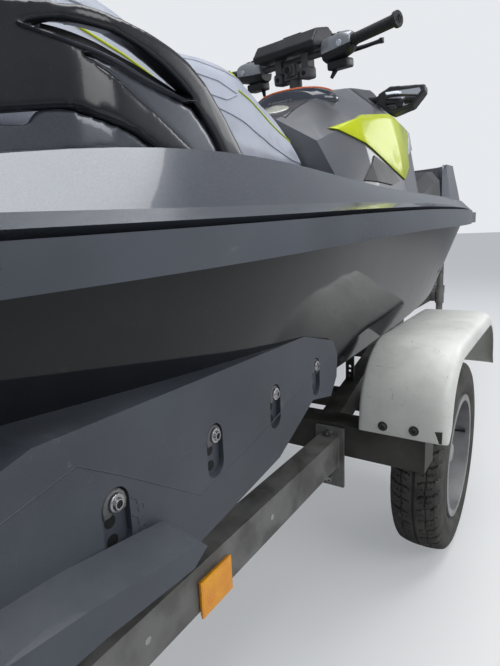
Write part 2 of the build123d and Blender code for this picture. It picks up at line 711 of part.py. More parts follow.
def bunk_brackets():
    """Upright plates between the frame and the bunks, the middle pair with a row of holes."""
    posts = []
    for x, y0, y1, low in ((445, 280, 320, 440), (1233, 280, 320, 485), (BRACKET_X, 312, 340, 473)):
        post = block(x - 3, x + 3, y0, y1, low, 560) - bunk_plank()
        if x == BRACKET_X:
            for z in (488, 504, 520):
                post -= Pos(x - 5, (y0 + y1) / 2, z) * Rot(0, 90, 0) * Cylinder(5, 10, align=FROM_BASE)
        post = max(post.solids(), key=lambda solid: solid.volume)
        posts += [post, mirror(post, about=Plane.XZ)]
    return Compound(posts)


def winch_post():
    post = bar((3906, 0, 450), (3760, 0, 860), 60, 60) - drawbar()
    for y in (-45, 45):
        post += bar((3790, y, 800), (BOW_STOP[0], y, BOW_STOP[1]), 20, 34)
    return post - bow_stop() - winch()


def bow_stop():
    pads = [disc(BOW_STOP[0], y, BOW_STOP[1], 36, 38) for y in (-64, 26)]
    return Compound(pads)


def winch():
    drum = disc(3775, -45, 905, 30, 90)
    cheeks = block(3735, 3815, -52, -45, 862, 950) + block(3735, 3815, 45, 52, 862, 950)
    cheeks += block(3735, 3815, -52, 52, 862, 868)
    crank = rod((3775, 52, 905), (3775, 90, 905), 9) + rod((3775, 85, 905), (3775, 85, 1080), 8)
    crank += rod((3775, 85, 1072), (3775, 175, 1072), 15)
    return drum + cheeks + crank


def strap(hull_solid):
    return bar((3752, 0, 929), (3425, 0, 742), 50, 3) - winch() - winch_post() - tow_eyes(hull_solid)


def coupler():
    body = block(4330, 4500, -42, 42, 405, 465)
    body = fillet(body.edges().filter_by(Axis.Z).group_by(Axis.X)[-1], 38)
    body -= Pos(4448, 0, 400) * Cylinder(25.4, 45, align=FROM_BASE)
    return body + bar((4350, 0, 470), (4450, 0, 520), 40, 12)


def on_leg(low, high, radius):
    """A round piece on the jockey leg's axis."""
    return Pos(JOCKEY_X, JOCKEY_Y, 0) * upright(radius, low, high)


def jockey_clamp():
    sleeve = on_leg(380, 500, 32) - on_leg(379, 509, LEG_R + 0.3)
    return sleeve + block(JOCKEY_X - 30, JOCKEY_X + 30, JOCKEY_Y + 30, -37, 395, 470)


def jockey_leg():
    x, y, top = JOCKEY_X, JOCKEY_Y, 825
    leg = on_leg(236, 796, LEG_R) + on_leg(211.7, 240, KINGPIN_R) + on_leg(204, 211.7, KINGPIN_R + 4)
    crank = on_leg(796, top + 5, 10) + rod((x, y, top), (x - 110, y, top), 8)
    return leg + crank + rod((x - 105, y, top), (x - 105, y, top + 75), 12)


def jockey_fork():
    """The crown that swivels on the leg's kingpin, and two blades down to the jockey wheel's axle."""
    x, y = JOCKEY_X, JOCKEY_Y
    fork = on_leg(220, 235.5, 30) + block(x - 40, x + 30, y - 38, y + 38, 212, 220)
    fork -= on_leg(200, 240, KINGPIN_R + 0.05)
    for sign in (1, -1):
        fork += bar((x - 5, y + sign * 34, 216), (x - 35, y + sign * 34, JOCKEY_R - 18), 8, 40)
    return fork + disc(x - 30, y - 38, JOCKEY_R, 7, 76)


def jockey_wheel():
    x, y = JOCKEY_X - 30, JOCKEY_Y
    wheel = disc(x, y - 25, JOCKEY_R, JOCKEY_R, 50)
    return wheel - disc(x, y - 30, JOCKEY_R, 7.06, 60)


def light_board():
    board = block(-172, -152, -620, 620, 420, 540)
    for y0, y1 in ((405, 455), (-455, -405)):
        board += block(-152, -150, y0, y1, 420, 457)
    return board


def tail_lamps():
    return both(block(REAR_END, -172, 480, 610, 430, 530))


def reflectors():
    return both(block(632, 708, RAIL_OUT, RAIL_OUT + 8, 368, 428))


LIME = [(1640, 1282), (1830, 1348), (2020, 1380), (2250, 1400), (2300, 1330), (2236, 1270), (2200, 1200),
        (2050, 1140), (1950, 1170), (1800, 1228)]
VENT = [(1690, 1118), (1800, 1205), (1940, 1160), (1990, 1132), (1900, 1112)]
HEADLAMP = [(2262, 1395), (2400, 1380), (2360, 1290), (2240, 1255), (2310, 1335)]


def main():
    os.makedirs("parts", exist_ok=True)
    hull_solid, deck_solid, hood_solid = hull(), deck(), hood_lid()
    fairing_solid, handle_solid = fairing(deck_solid), handle(deck_solid)
    skirt = nose_skirt(deck_solid, fairing_solid)
    pieces = {
        "hull": hull_solid, "deck": deck_solid, "bumper": bumper(), "fairing": fairing_solid,
        "nose_skirt": skirt, "bow_cowl": bow_cowl(deck_solid, skirt), "hood_lid": hood_solid,
        "lime_panels": side_patch(LIME, 5), "side_vents": side_patch(VENT, 4),
        "headlamps": side_patch(HEADLAMP, 5), "mirror_shells": mirror_shells(hood_solid),
        "mirror_glasses": mirror_glasses(), "glove_lid": glove_lid(), "gauge_pod": gauge_form(),
        "seat_front": skin(SEAT_FRONT, seat_outline), "seat_rear": skin(SEAT_REAR, seat_outline),
        "grab_handle": handle_solid, "haunches": haunches(handle_solid, deck_solid),
        "sponson_left": sponson(1), "sponson_right": sponson(-1), "mats": mats(),
        "engine_block": engine_block(), "column_base": column_base(), "handlebar": handlebar(),
        "bar_pad": bar_pad(), "switch_housings": spun(Compound([housing(1), housing(-1)])),
        "grips": spun(Compound([grip(1), grip(-1)])), "ride_plate": ride_plate(),
        "intake_grate": intake_grate(), "pump_housing": pump(), "impeller": impeller(),
        "steering_nozzle": nozzle(), "reverse_gate": reverse_gate(), "boarding_step": boarding_step(),
        "step_brackets": step_brackets(), "tow_eyes": tow_eyes(hull_solid), "side_rails": rails(),
        "cross_beams": cross_beams(), "chassis_beams": chassis(), "drawbar": drawbar(), "axle": axle(),
        "rim_left": rim(1), "rim_right": rim(-1), "tyre_left": tyre(1), "tyre_right": tyre(-1),
        "fenders": fenders(), "bunks": bunks(hull_solid), "bunk_brackets": bunk_brackets(),
        "winch_post": winch_post(), "bow_stop": bow_stop(), "winch": winch(),
        "winch_strap": strap(hull_solid), "coupler": coupler(), "jockey_clamp": jockey_clamp(),
        "jockey_leg": jockey_leg(), "jockey_fork": jockey_fork(), "jockey_wheel": jockey_wheel(),
        "light_board": light_board(), "tail_lamps": tail_lamps(), "reflectors": reflectors(),
    }
    for name, shape in pieces.items():
        export_step(Pos(-MID, 0, 0) * shape, f"parts/{name}.step")


main()
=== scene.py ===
"""Looks for a three-seat watercraft on its trailer: finishes, soft seats, trim, tread and fasteners."""
import json
import math
import bmesh
import bpy
from mathutils import Matrix, Vector
from mathutils.bvhtree import BVHTree
from mathutils.geometry import intersect_point_line
from mathutils.kdtree import KDTree


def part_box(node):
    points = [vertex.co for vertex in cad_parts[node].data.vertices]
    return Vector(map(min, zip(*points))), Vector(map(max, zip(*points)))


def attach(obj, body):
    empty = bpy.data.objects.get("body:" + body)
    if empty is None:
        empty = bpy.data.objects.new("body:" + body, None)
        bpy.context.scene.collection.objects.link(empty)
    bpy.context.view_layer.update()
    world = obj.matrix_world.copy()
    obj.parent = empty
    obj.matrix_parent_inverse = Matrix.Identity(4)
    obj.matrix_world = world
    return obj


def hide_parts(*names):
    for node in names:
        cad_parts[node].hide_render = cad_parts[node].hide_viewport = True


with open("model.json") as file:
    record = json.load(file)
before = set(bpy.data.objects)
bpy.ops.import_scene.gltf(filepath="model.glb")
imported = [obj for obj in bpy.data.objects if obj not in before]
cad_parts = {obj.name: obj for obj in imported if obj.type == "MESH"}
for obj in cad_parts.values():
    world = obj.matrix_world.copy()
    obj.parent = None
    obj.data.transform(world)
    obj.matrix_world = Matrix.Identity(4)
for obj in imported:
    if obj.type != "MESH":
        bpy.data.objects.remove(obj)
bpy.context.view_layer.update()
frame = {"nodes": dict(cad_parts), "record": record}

# Places are measured as on the drawings: forward from the craft's stern, to port, and up from the floor
MID = 2.15


def at(x, y, z):
    return Vector((x - MID, y, z))


def from_stern(spot):
    return spot.x + MID


def clamp(value):
    return min(1.0, max(0.0, value))


def round_angles(count):
    """Even angles once round a circle."""
    return [2 * math.pi * k / count for k in range(count)]


def hoop(centre, across, over, sides):
    """Places once round a centre, from an oval's two half axes."""
    return [centre + across * math.cos(angle) + over * math.sin(angle) for angle in round_angles(sides)]


def row_pair(table, x):
    """The two rows of a table on either side of x, and how far x is between them."""
    low, high = next((a, b) for a, b in zip(table, table[1:]) if x <= b[0] or b is table[-1])
    return low, high, (x - low[0]) / (high[0] - low[0])


# Shared effects, each a node group with named inputs and outputs

def effect(name, outputs, values, tones=()):
    """A node group fed by a place, by tones and by values, with its input and output nodes."""
    group = bpy.data.node_groups.new(name, "ShaderNodeTree")
    inputs = [("Place", "Vector", None)] + [(label, "Color", None) for label in tones]
    inputs += [(label, "Float", default) for label, default in values.items()]
    for label, kind, default in inputs:
        socket = group.interface.new_socket(name=label, in_out="INPUT", socket_type="NodeSocket" + kind)
        if default is not None:
            socket.default_value = default
    for label in outputs:
        kind = "Color" if label == "Colour" else "Float"
        group.interface.new_socket(name=label, in_out="OUTPUT", socket_type="NodeSocket" + kind)
    start = group.nodes.new("NodeGroupInput")
    end = group.nodes.new("NodeGroupOutput")
    return group, start.outputs, end.inputs


def step(group, kind, links=None, **settings):
    """One node of a group or material, with its settings and what feeds it."""
    node = group.nodes.new(kind)
    for key, value in settings.items():
        setattr(node, key, value)
    for socket, source in (links or {}).items():
        if isinstance(source, bpy.types.NodeSocket):
            group.links.new(source, node.inputs[socket])
        else:
            node.inputs[socket].default_value = source
    return node


def between(group, value, low, high):
    """A value squeezed to 0 below low and 1 above high."""
    node = step(group, "ShaderNodeMapRange", {0: value, 1: low, 2: high, 3: 0.0, 4: 1.0},
                interpolation_type="SMOOTHSTEP")
    return node.outputs[0]


def sums(group, operation, first, second):
    return step(group, "ShaderNodeMath", {0: first, 1: second}, operation=operation).outputs[0]


def product(group, first, second):
    return sums(group, "MULTIPLY", first, second)


def noise(group, place, scale, detail, roughness=0.5):
    return step(group, "ShaderNodeTexNoise", {"Vector": place, "Scale": scale, "Detail": detail,
                                              "Roughness": roughness}).outputs[0]


def blend_colours(group, share, first, second):
    return step(group, "ShaderNodeMix", {0: share, 6: first, 7: second}, data_type="RGBA").outputs[2]


def make_mottle():
    """Two tones of one finish that drift into each other, and a roughness that drifts with them."""
    group, start, end = effect("mottle", ("Colour", "Roughness"),
                               {"Scale": 6.0, "Roughness": 0.4, "Spread": 0.08}, ("Light tone", "Dark tone"))
    place, light, dark, scale, roughness, spread = start[:6]
    share = between(group, noise(group, place, scale, 5.0), 0.34, 0.66)
    drift = product(group, sums(group, "SUBTRACT", share, 0.5), spread)
    group.links.new(blend_colours(group, share, dark, light), end[0])
    group.links.new(sums(group, "ADD", roughness, drift), end[1])
    return group


def make_grain():
    """Moulded grain: small pebbles over a finer tooth, as a height."""
    group, start, end = effect("grain", ("Height",), {"Scale": 700.0})
    place, scale = start[:2]
    pebbles = step(group, "ShaderNodeTexVoronoi", {"Vector": place, "Scale": scale}, feature="SMOOTH_F1")
    tooth = product(group, noise(group, place, product(group, scale, 1.7), 3.0), 0.5)
    group.links.new(sums(group, "ADD", pebbles.outputs[0], tooth), end[0])
    return group


def make_scuffs():
    """Thin rubbed streaks in two directions, gathered in patches, as a mask."""
    group, start, end = effect("scuffs", ("Mask",), {"Scale": 9.0, "Amount": 0.3})
    place, scale, amount = start[:3]
    masks = []
    for turn, stretch in ((0.35, (1.0, 16.0, 5.0)), (-0.9, (14.0, 1.2, 9.0))):
        lay = step(group, "ShaderNodeMapping", {"Vector": place, "Rotation": (turn, turn * 0.6, turn),
                                                "Scale": stretch})
        masks.append(between(group, noise(group, lay.outputs[0], scale, 6.0, 0.7), 0.62, 0.70))
    patches = between(group, noise(group, place, scale, 3.0), 0.42, 0.62)
    rubbed = product(group, sums(group, "MAXIMUM", masks[0], masks[1]), patches)
    group.links.new(product(group, rubbed, amount), end[0])
    return group


def make_dust():
    """Dust that settles where a surface faces up, and in drifting patches, as a mask."""
    group, start, end = effect("dust", ("Mask",), {"Scale": 8.0, "Amount": 0.3})
    place, scale, amount = start[:3]
    facing = step(group, "ShaderNodeNewGeometry")
    split = step(group, "ShaderNodeSeparateXYZ", {0: facing.outputs["Normal"]})
    lie = sums(group, "ADD", between(group, split.outputs[2], -0.35, 1.0), 0.25)
    mask = product(group, between(group, noise(group, place, scale, 8.0, 0.65), 0.38, 0.72), lie)
    group.links.new(product(group, mask, amount), end[0])
    return group


def make_weave():
    """Crossing threads, as a height."""
    group, start, end = effect("weave", ("Height",), {"Scale": 400.0})
    place, scale = start[:2]
    waves = [step(group, "ShaderNodeTexWave", {"Vector": place, "Scale": scale, "Distortion": 0.4},
                  bands_direction=axis).outputs[1] for axis in ("X", "Y")]
    group.links.new(product(group, waves[0], waves[1]), end[0])
    return group


MOTTLE, GRAIN, SCUFFS, DUST, WEAVE = make_mottle(), make_grain(), make_scuffs(), make_dust(), make_weave()
DUST_TONE = (0.30, 0.29, 0.27, 1.0)


def use(tree, group, **inputs):
    """A shared effect in a finish, fed by its named inputs."""
    named = {label.replace("_", " "): source for label, source in inputs.items()}
    return step(tree, "ShaderNodeGroup", named, node_tree=group).outputs


FINISHES = {}


def finish_of(name, light, dark, roughness, spread=0.08, scale=5.0, metallic=0.0, grain=0.0,
              grain_scale=700.0, scuffs=0.0, scuff_tone=(0.4, 0.4, 0.4), scuff_scale=9.0, dust=0.0,
              dust_scale=8.0, weave=0.0, weave_scale=400.0, coat=0.0, specular=0.5, flake=0.0, sheen=0.0):
    """A finish from the shared effects, with this surface's own values."""
    material = bpy.data.materials.new(name)
    material.use_nodes = True
    tree = material.node_tree
    shader = tree.nodes["Principled BSDF"]
    place = tree.nodes.new("ShaderNodeTexCoord").outputs["Object"]
    tones = use(tree, MOTTLE, Place=place, Light_tone=(*light, 1.0), Dark_tone=(*dark, 1.0), Scale=scale,
                Roughness=roughness, Spread=spread)
    colour, rough = tones[0], tones[1]
    if flake:
        specks = step(tree, "ShaderNodeTexVoronoi", {"Vector": place, "Scale": 2600.0})
        bright = tuple(min(1.0, channel * (1 + flake)) for channel in light)
        share = between(tree, specks.outputs["Color"], 0.45, 0.95)
        colour = blend_colours(tree, share, colour, (*bright, 1.0))
    if scuffs:
        mask = use(tree, SCUFFS, Place=place, Scale=scuff_scale, Amount=scuffs)[0]
        colour = blend_colours(tree, mask, colour, (*scuff_tone, 1.0))
        rough = sums(tree, "ADD", rough, product(tree, mask, 0.2))
    if dust:
        mask = use(tree, DUST, Place=place, Scale=dust_scale, Amount=dust)[0]
        colour = blend_colours(tree, mask, colour, DUST_TONE)
        rough = sums(tree, "ADD", rough, product(tree, mask, 0.45))
    tree.links.new(colour, shader.inputs["Base Color"])
    tree.links.new(rough, shader.inputs["Roughness"])
    shader.inputs["Metallic"].default_value = metallic
    shader.inputs["Specular IOR Level"].default_value = specular
    shader.inputs["Coat Weight"].default_value = coat
    shader.inputs["Coat Roughness"].default_value = 0.04
    shader.inputs["Sheen Weight"].default_value = sheen
    if grain or weave:
        texture, size = (WEAVE, weave_scale) if weave else (GRAIN, grain_scale)
        height = use(tree, texture, Place=place, Scale=size)[0]
        bump = step(tree, "ShaderNodeBump", {"Height": height, "Distance": 0.0006,
                                             "Strength": grain or weave})
        tree.links.new(bump.outputs[0], shader.inputs["Normal"])
    FINISHES[name] = material


finish_of("hull_gloss", (0.014, 0.016, 0.02), (0.008, 0.009, 0.012), 0.07, 0.05, 3.0, specular=0.35,
          scuffs=0.12, scuff_tone=(0.09, 0.1, 0.11), scuff_scale=5.0, dust=0.05)
finish_of("deck_grey", (0.098, 0.107, 0.125), (0.075, 0.082, 0.1), 0.24, 0.05, 2.5, metallic=0.35,
          flake=0.5, coat=0.6, dust=0.04)
finish_of("belt_grey", (0.085, 0.097, 0.118), (0.062, 0.07, 0.085), 0.3, 0.08, 3.0, coat=0.15, grain=0.05,
          grain_scale=900.0, scuffs=0.25, scuff_tone=(0.2, 0.21, 0.23), dust=0.08)
finish_of("body_grey", (0.1, 0.105, 0.118), (0.07, 0.075, 0.087), 0.34, 0.06, 3.0, metallic=0.3, flake=0.4,
          coat=0.5, dust=0.06)
finish_of("black_plastic", (0.02, 0.021, 0.026), (0.012, 0.013, 0.016), 0.42, 0.1, 7.0, grain=0.25,
          dust=0.06)
finish_of("lime", (0.52, 0.6, 0.001), (0.43, 0.51, 0.001), 0.3, 0.05, 3.0, coat=0.2, specular=0.3)
finish_of("lamp_trim", (0.5, 0.53, 0.58), (0.38, 0.41, 0.46), 0.22, 0.06, 4.0, coat=0.4)
finish_of("hood_black", (0.045, 0.05, 0.06), (0.03, 0.034, 0.04), 0.36, 0.08, 5.0, grain=0.12, dust=0.08)
finish_of("mirror_glass", (0.85, 0.87, 0.9), (0.8, 0.82, 0.86), 0.03, 0.01, 3.0, metallic=1.0)
finish_of("smoked", (0.055, 0.065, 0.09), (0.035, 0.04, 0.055), 0.12, 0.04, 4.0, coat=0.8, dust=0.1)
finish_of("seat_vinyl", (0.42, 0.45, 0.53), (0.34, 0.37, 0.44), 0.42, 0.08, 6.0, grain=0.5,
          grain_scale=520.0, sheen=0.1, dust=0.05)
finish_of("black_satin", (0.02, 0.022, 0.028), (0.012, 0.013, 0.017), 0.26, 0.08, 4.0, coat=0.25,
          scuffs=0.12, scuff_tone=(0.08, 0.085, 0.1), dust=0.06)
finish_of("sponson_grey", (0.066, 0.077, 0.096), (0.046, 0.053, 0.067), 0.5, 0.1, 5.0, grain=0.3,
          grain_scale=1100.0, scuffs=0.35, scuff_tone=(0.14, 0.15, 0.17), scuff_scale=6.0, dust=0.1)
finish_of("cast_grey", (0.13, 0.13, 0.135), (0.08, 0.08, 0.085), 0.5, 0.1, 8.0, grain=0.4,
          grain_scale=500.0, dust=0.15)
finish_of("silver_plastic", (0.42, 0.44, 0.47), (0.3, 0.32, 0.35), 0.3, 0.08, 9.0, metallic=0.6, coat=0.3,
          dust=0.1)
finish_of("grip_rubber", (0.02, 0.02, 0.022), (0.012, 0.012, 0.013), 0.62, 0.08, 9.0, grain=0.4, dust=0.1)
finish_of("engine_metal", (0.4, 0.4, 0.4), (0.25, 0.25, 0.25), 0.45, 0.1, 6.0, metallic=0.8, grain=0.5,
          grain_scale=400.0)
finish_of("mat_foam", (0.06, 0.062, 0.068), (0.04, 0.042, 0.046), 0.8, 0.08, 9.0, grain=0.6,
          grain_scale=420.0, dust=0.2)
finish_of("drive_metal", (0.4, 0.41, 0.42), (0.24, 0.25, 0.26), 0.42, 0.12, 8.0, metallic=0.8, grain=0.4,
          grain_scale=420.0, dust=0.1)
finish_of("steel", (0.55, 0.55, 0.56), (0.4, 0.4, 0.41), 0.28, 0.1, 12.0, metallic=1.0, scuffs=0.3,
          scuff_tone=(0.3, 0.29, 0.28))
finish_of("galvanised", (0.21, 0.21, 0.205), (0.105, 0.105, 0.1), 0.55, 0.16, 14.0, metallic=0.35,
          grain=0.5, grain_scale=260.0, scuffs=0.5, scuff_tone=(0.36, 0.35, 0.33), dust=0.45,
          dust_scale=16.0)
finish_of("chassis_dark", (0.06, 0.057, 0.052), (0.028, 0.026, 0.023), 0.55, 0.12, 10.0, grain=0.4,
          grain_scale=320.0, scuffs=0.4, scuff_tone=(0.2, 0.16, 0.12), dust=0.35)
finish_of("rim_silver", (0.4, 0.4, 0.41), (0.27, 0.27, 0.28), 0.42, 0.12, 9.0, metallic=0.5, scuffs=0.5,
          scuff_tone=(0.16, 0.14, 0.12), dust=0.3, dust_scale=14.0)
finish_of("tyre", (0.055, 0.054, 0.05), (0.032, 0.031, 0.029), 0.8, 0.08, 12.0, grain=0.35,
          grain_scale=500.0, dust=0.4, dust_scale=18.0)
finish_of("fender_white", (0.8, 0.81, 0.77), (0.7, 0.71, 0.67), 0.36, 0.1, 5.0, scuffs=1.0,
          scuff_tone=(0.22, 0.21, 0.2), scuff_scale=14.0, grain=0.08, grain_scale=200.0, dust=0.2,
          dust_scale=12.0)
finish_of("bunk_carpet", (0.03, 0.03, 0.033), (0.015, 0.015, 0.017), 0.95, 0.03, 30.0, grain=1.0,
          grain_scale=650.0, sheen=0.3, dust=0.3)
finish_of("webbing", (0.06, 0.06, 0.066), (0.035, 0.035, 0.04), 0.8, 0.05, 20.0, weave=0.8,
          weave_scale=260.0, sheen=0.2, dust=0.15)
finish_of("lamp_red", (0.5, 0.008, 0.008), (0.34, 0.004, 0.004), 0.15, 0.04, 8.0, coat=0.6, grain=0.5,
          grain_scale=180.0)
finish_of("amber", (1.0, 0.43, 0.0), (0.86, 0.3, 0.0), 0.25, 0.05, 20.0, grain=0.9, grain_scale=420.0,
          coat=0.4, dust=0.06)
finish_of("orange_trim", (0.75, 0.14, 0.012), (0.62, 0.1, 0.008), 0.35, 0.05, 9.0)
finish_of("cream_gloss", (0.62, 0.62, 0.56), (0.5, 0.5, 0.45), 0.16, 0.04, 5.0, coat=0.7)
# Near-black: the valve stems' own black rubber and the key post's face, and painted shade filling the rim's
# openings, the sponsons' holes and screw sockets and the pad's slot
finish_of("hole_black", (0.006, 0.006, 0.007), (0.003, 0.003, 0.004), 0.7, 0.05, 9.0)

NODE_FINISH = {part["node"]: part["material_slot"] for part in frame["record"]["subparts"]}
for node_name, slot_name in NODE_FINISH.items():
    frame["nodes"][node_name].material_slots[0].material = FINISHES[slot_name]


def edge_bevel(piece, width, angle):
    """A live bevel of three steps on the edges over an angle."""
    edge = piece.modifiers.new("edge", "BEVEL")
    edge.width = width
    edge.segments = 3
    edge.limit_method = "ANGLE"
    edge.angle_limit = math.radians(angle)
    return edge


for node_name in ("sponson_left", "sponson_right"):
    node = frame["nodes"][node_name]
    weld = node.modifiers.new("weld", "WELD")
    weld.merge_threshold = 0.00005
    edge_bevel(node, 0.003, 24).harden_normals = True


def new_piece(name, bm, finish, body="root", stands_for=(), angle=35.0, creases=()):
    """Turns a finished bmesh into a piece that moves with a body."""
    for face in bm.faces:
        face.smooth = True
    bm.edges.index_update()
    kept = [line.index for line in creases]
    mesh = bpy.data.meshes.new(name)
    bm.to_mesh(mesh)
    bm.free()
    mesh.set_sharp_from_angle(angle=math.radians(angle))
    for index in kept:
        mesh.edges[index].use_edge_sharp = True
    mesh.materials.append(FINISHES[finish])
    made = bpy.data.objects.new(name, mesh)
    bpy.context.collection.objects.link(made)
    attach(made, body)
    if stands_for:
        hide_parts(*stands_for)
    return made


def closed_piece(name, bm, finish, body="root", stands_for=(), angle=35.0):
    """A piece whose faces are first turned outwards."""
    bmesh.ops.recalc_face_normals(bm, faces=bm.faces)
    return new_piece(name, bm, finish, body, stands_for, angle)


def settle(piece):
    """Applies a piece's modifiers to its mesh."""
    graph = bpy.context.evaluated_depsgraph_get()
    mesh = bpy.data.meshes.new_from_object(piece.evaluated_get(graph))
    piece.modifiers.clear()
    old = piece.data
    piece.data = mesh
    bpy.data.meshes.remove(old)
    return piece


def solid_copy(node_name):
    """The merged surface of a CAD node."""
    bm = bmesh.new()
    bm.from_mesh(frame["nodes"][node_name].data)
    bmesh.ops.remove_doubles(bm, verts=bm.verts, dist=0.00002)
    return bm


def remeshed(piece, voxel, passes):
    """Evens a piece's mesh out, which rounds its edges over."""
    remesh = piece.modifiers.new("even", "REMESH")
    remesh.mode = "VOXEL"
    remesh.voxel_size = voxel
    remesh.use_smooth_shade = True
    ease = piece.modifiers.new("ease", "SMOOTH")
    ease.factor = 0.5
    ease.iterations = passes
    return settle(piece)


def stand_in(node_name, ending, bm, angle, creases=()):
    """A piece in its CAD node's place, finish and body."""
    bodies = frame["record"]["behaviour"]["bodies"]
    body = next(row for row, members in bodies.items() if node_name in members)
    return new_piece(node_name + ending, bm, NODE_FINISH[node_name], body, (node_name,), angle, creases)


def rounded(node_name, voxel, passes):
    """A moulding from its CAD node, with every edge rounded over as a mould leaves it."""
    return remeshed(stand_in(node_name, "_moulding", solid_copy(node_name), 60.0), voxel, passes)


def crisp_lines(bm, angle):
    """A test of whether a place lies on one of a mesh's crisp edges as they are now."""
    spans = [(line.verts[0].co.copy(), line.verts[1].co.copy()) for line in bm.edges
             if len(line.link_faces) != 2 or line.calc_face_angle(0.0) > math.radians(angle)]
    beads = [(start.lerp(end, (k + 0.5) / count), index) for index, (start, end) in enumerate(spans)
             for count in [max(1, int((end - start).length / 0.003))] for k in range(count)]
    tree = KDTree(len(beads) or 1)
    for spot, index in beads:
        tree.insert(spot, index)
    tree.balance()

    def on_line(spot):
        for _, index, _ in tree.find_n(spot, 4):
            start, end = spans[index]
            near, share = intersect_point_line(spot, start, end)
            near = start if share < 0 else end if share > 1 else near
            if (near - spot).length < 0.00006:
                return True
        return False
    return on_line


def smoothed(bm, verts, passes):
    for _ in range(passes):
        bmesh.ops.smooth_vert(bm, verts=verts, factor=0.5, use_axis_x=True, use_axis_y=True, use_axis_z=True)


def softened(node_name, size, passes, crisp, easing=0, reshape=None):
    """A moulding from its CAD node, whose shallow facets flow together while edges over the crisp angle stay.

    The easing passes also round those edges over, and reshape moves each vertex before any smoothing."""
    bm = solid_copy(node_name)
    bmesh.ops.dissolve_degenerate(bm, edges=bm.edges, dist=0.0001)
    bmesh.ops.dissolve_limit(bm, angle_limit=math.radians(0.7), verts=bm.verts, edges=bm.edges)
    bm.normal_update()
    on_line = crisp_lines(bm, crisp)
    bmesh.ops.triangulate(bm, faces=bm.faces)
    for _ in range(8):
        long_edges = [line for line in bm.edges if line.calc_length() > size]
        if not long_edges:
            break
        bmesh.ops.subdivide_edges(bm, edges=long_edges, cuts=1)
        bmesh.ops.triangulate(bm, faces=[face for face in bm.faces if len(face.verts) > 3])
        bm.normal_update()
        flat = [line for line in bm.edges if len(line.link_faces) == 2 and line.calc_face_angle(0.0) < 0.02]
        bmesh.ops.beautify_fill(bm, faces=bm.faces, edges=flat)
    free = [vert for vert in bm.verts if not on_line(vert.co)]
    creases = [line for line in bm.edges if on_line((line.verts[0].co + line.verts[1].co) / 2)]
    for vert in bm.verts if reshape else ():
        vert.co = reshape(vert.co)
    smoothed(bm, free, passes)
    smoothed(bm, bm.verts, easing)
    if easing:
        return stand_in(node_name, "_moulding", bm, 70.0)
    return stand_in(node_name, "_moulding", bm, crisp * 1.3, creases)


def broken(bm, edges, width, segments):
    """Breaks edges with a bevel."""
    bmesh.ops.bevel(bm, geom=edges, offset=width, offset_type="OFFSET", segments=segments, profile=0.5,
                    affect="EDGES", material=-1, clamp_overlap=True)


def sharp_edges(edges, angle):
    return [edge for edge in edges if len(edge.link_faces) == 2
            and edge.calc_face_angle(0.0) > math.radians(angle)]


def place(bm, verts, matrix):
    bmesh.ops.transform(bm, matrix=matrix, verts=verts)


def add_box(bm, low, high, bevel, segments=2):
    """A block between two opposite corners, its edges broken by a bevel."""
    made = bmesh.ops.create_cube(bm, size=1.0)["verts"]
    size = [abs(b - a) for a, b in zip(low, high)]
    centre = [(a + b) / 2 for a, b in zip(low, high)]
    place(bm, made, Matrix.Translation(centre) @ Matrix.Diagonal((*size, 1.0)))
    broken(bm, list({edge for vert in made for edge in vert.link_edges}), bevel, segments)


def add_rod(bm, start, end, radius, end_radius=None, sides=24, bevel=0.0):
    """A round bar or cone between two points."""
    line = Vector(end) - Vector(start)
    last = radius if end_radius is None else end_radius
    made = bmesh.ops.create_cone(bm, cap_ends=True, segments=sides, radius1=radius, radius2=last,
                                 depth=line.length)["verts"]
    turn = line.to_track_quat("Z", "Y").to_matrix().to_4x4()
    place(bm, made, Matrix.Translation((Vector(start) + Vector(end)) / 2) @ turn)
    if bevel:
        broken(bm, sharp_edges({edge for vert in made for edge in vert.link_edges}, 50), bevel, 3)


def ring_of(bm, points, closed=True):
    verts = [bm.verts.new(point) for point in points]
    pairs = list(zip(verts, verts[1:] + verts[:1])) if closed else list(zip(verts, verts[1:]))
    return [bm.edges.new(pair) for pair in pairs]


def skinned(bm, rings, closed=True):
    """Bridges a row of outlines into one skin, and closes its ends if the outlines are closed."""
    loops = [ring_of(bm, ring, closed) for ring in rings]
    for first, second in zip(loops, loops[1:]):
        bmesh.ops.bridge_loops(bm, edges=first + second)
    for loop in (loops[0], loops[-1]) if closed else ():
        bmesh.ops.contextual_create(bm, geom=loop)


def surface_of(*names):
    """A ray-castable copy of pieces or CAD nodes, to lay trim on."""
    bm = bmesh.new()
    for name in names:
        source = frame["nodes"].get(name) or bpy.data.objects[name]
        bm.from_mesh(source.data)
    tree = BVHTree.FromBMesh(bm)
    bm.free()
    return tree


def laid(tree, points, ray, lift):
    """Points thrown along a ray onto a surface, and lifted off it a little."""
    resting = []
    for point in points:
        hit, normal, _, _ = tree.ray_cast(Vector(point), Vector(ray))
        if hit:
            if normal.dot(Vector(ray)) > 0:
                normal = -normal
            resting.append(hit + normal * lift)
    return resting


def even_steps(points, count):
    """The same broken line walked in a number of even steps."""
    corners = [Vector(point) for point in points]
    lengths = [(b - a).length for a, b in zip(corners, corners[1:])]
    walked, total = [], sum(lengths)
    for i in range(count):
        left = total * i / (count - 1)
        for a, b, length in zip(corners, corners[1:], lengths):
            if left <= length + 1e-9:
                walked.append(a.lerp(b, left / length))
                break
            left -= length
    return walked


def bead(name, points, radius, finish, flat=1.0):
    """A thin round line, such as piping or a seam, through points."""
    bm = bmesh.new()
    rings = []
    across = Vector((0.1, 0.2, 1.0))
    for i, here in enumerate(points):
        run = (points[min(i + 1, len(points) - 1)] - points[max(i - 1, 0)]).normalized()
        across = (across - run * across.dot(run)).normalized()
        over = run.cross(across)
        rings.append(hoop(here, across * radius, over * (radius * flat), 8))
    skinned(bm, rings)
    bmesh.ops.remove_doubles(bm, verts=bm.verts, dist=0.00001)
    closed_piece(name, bm, finish)


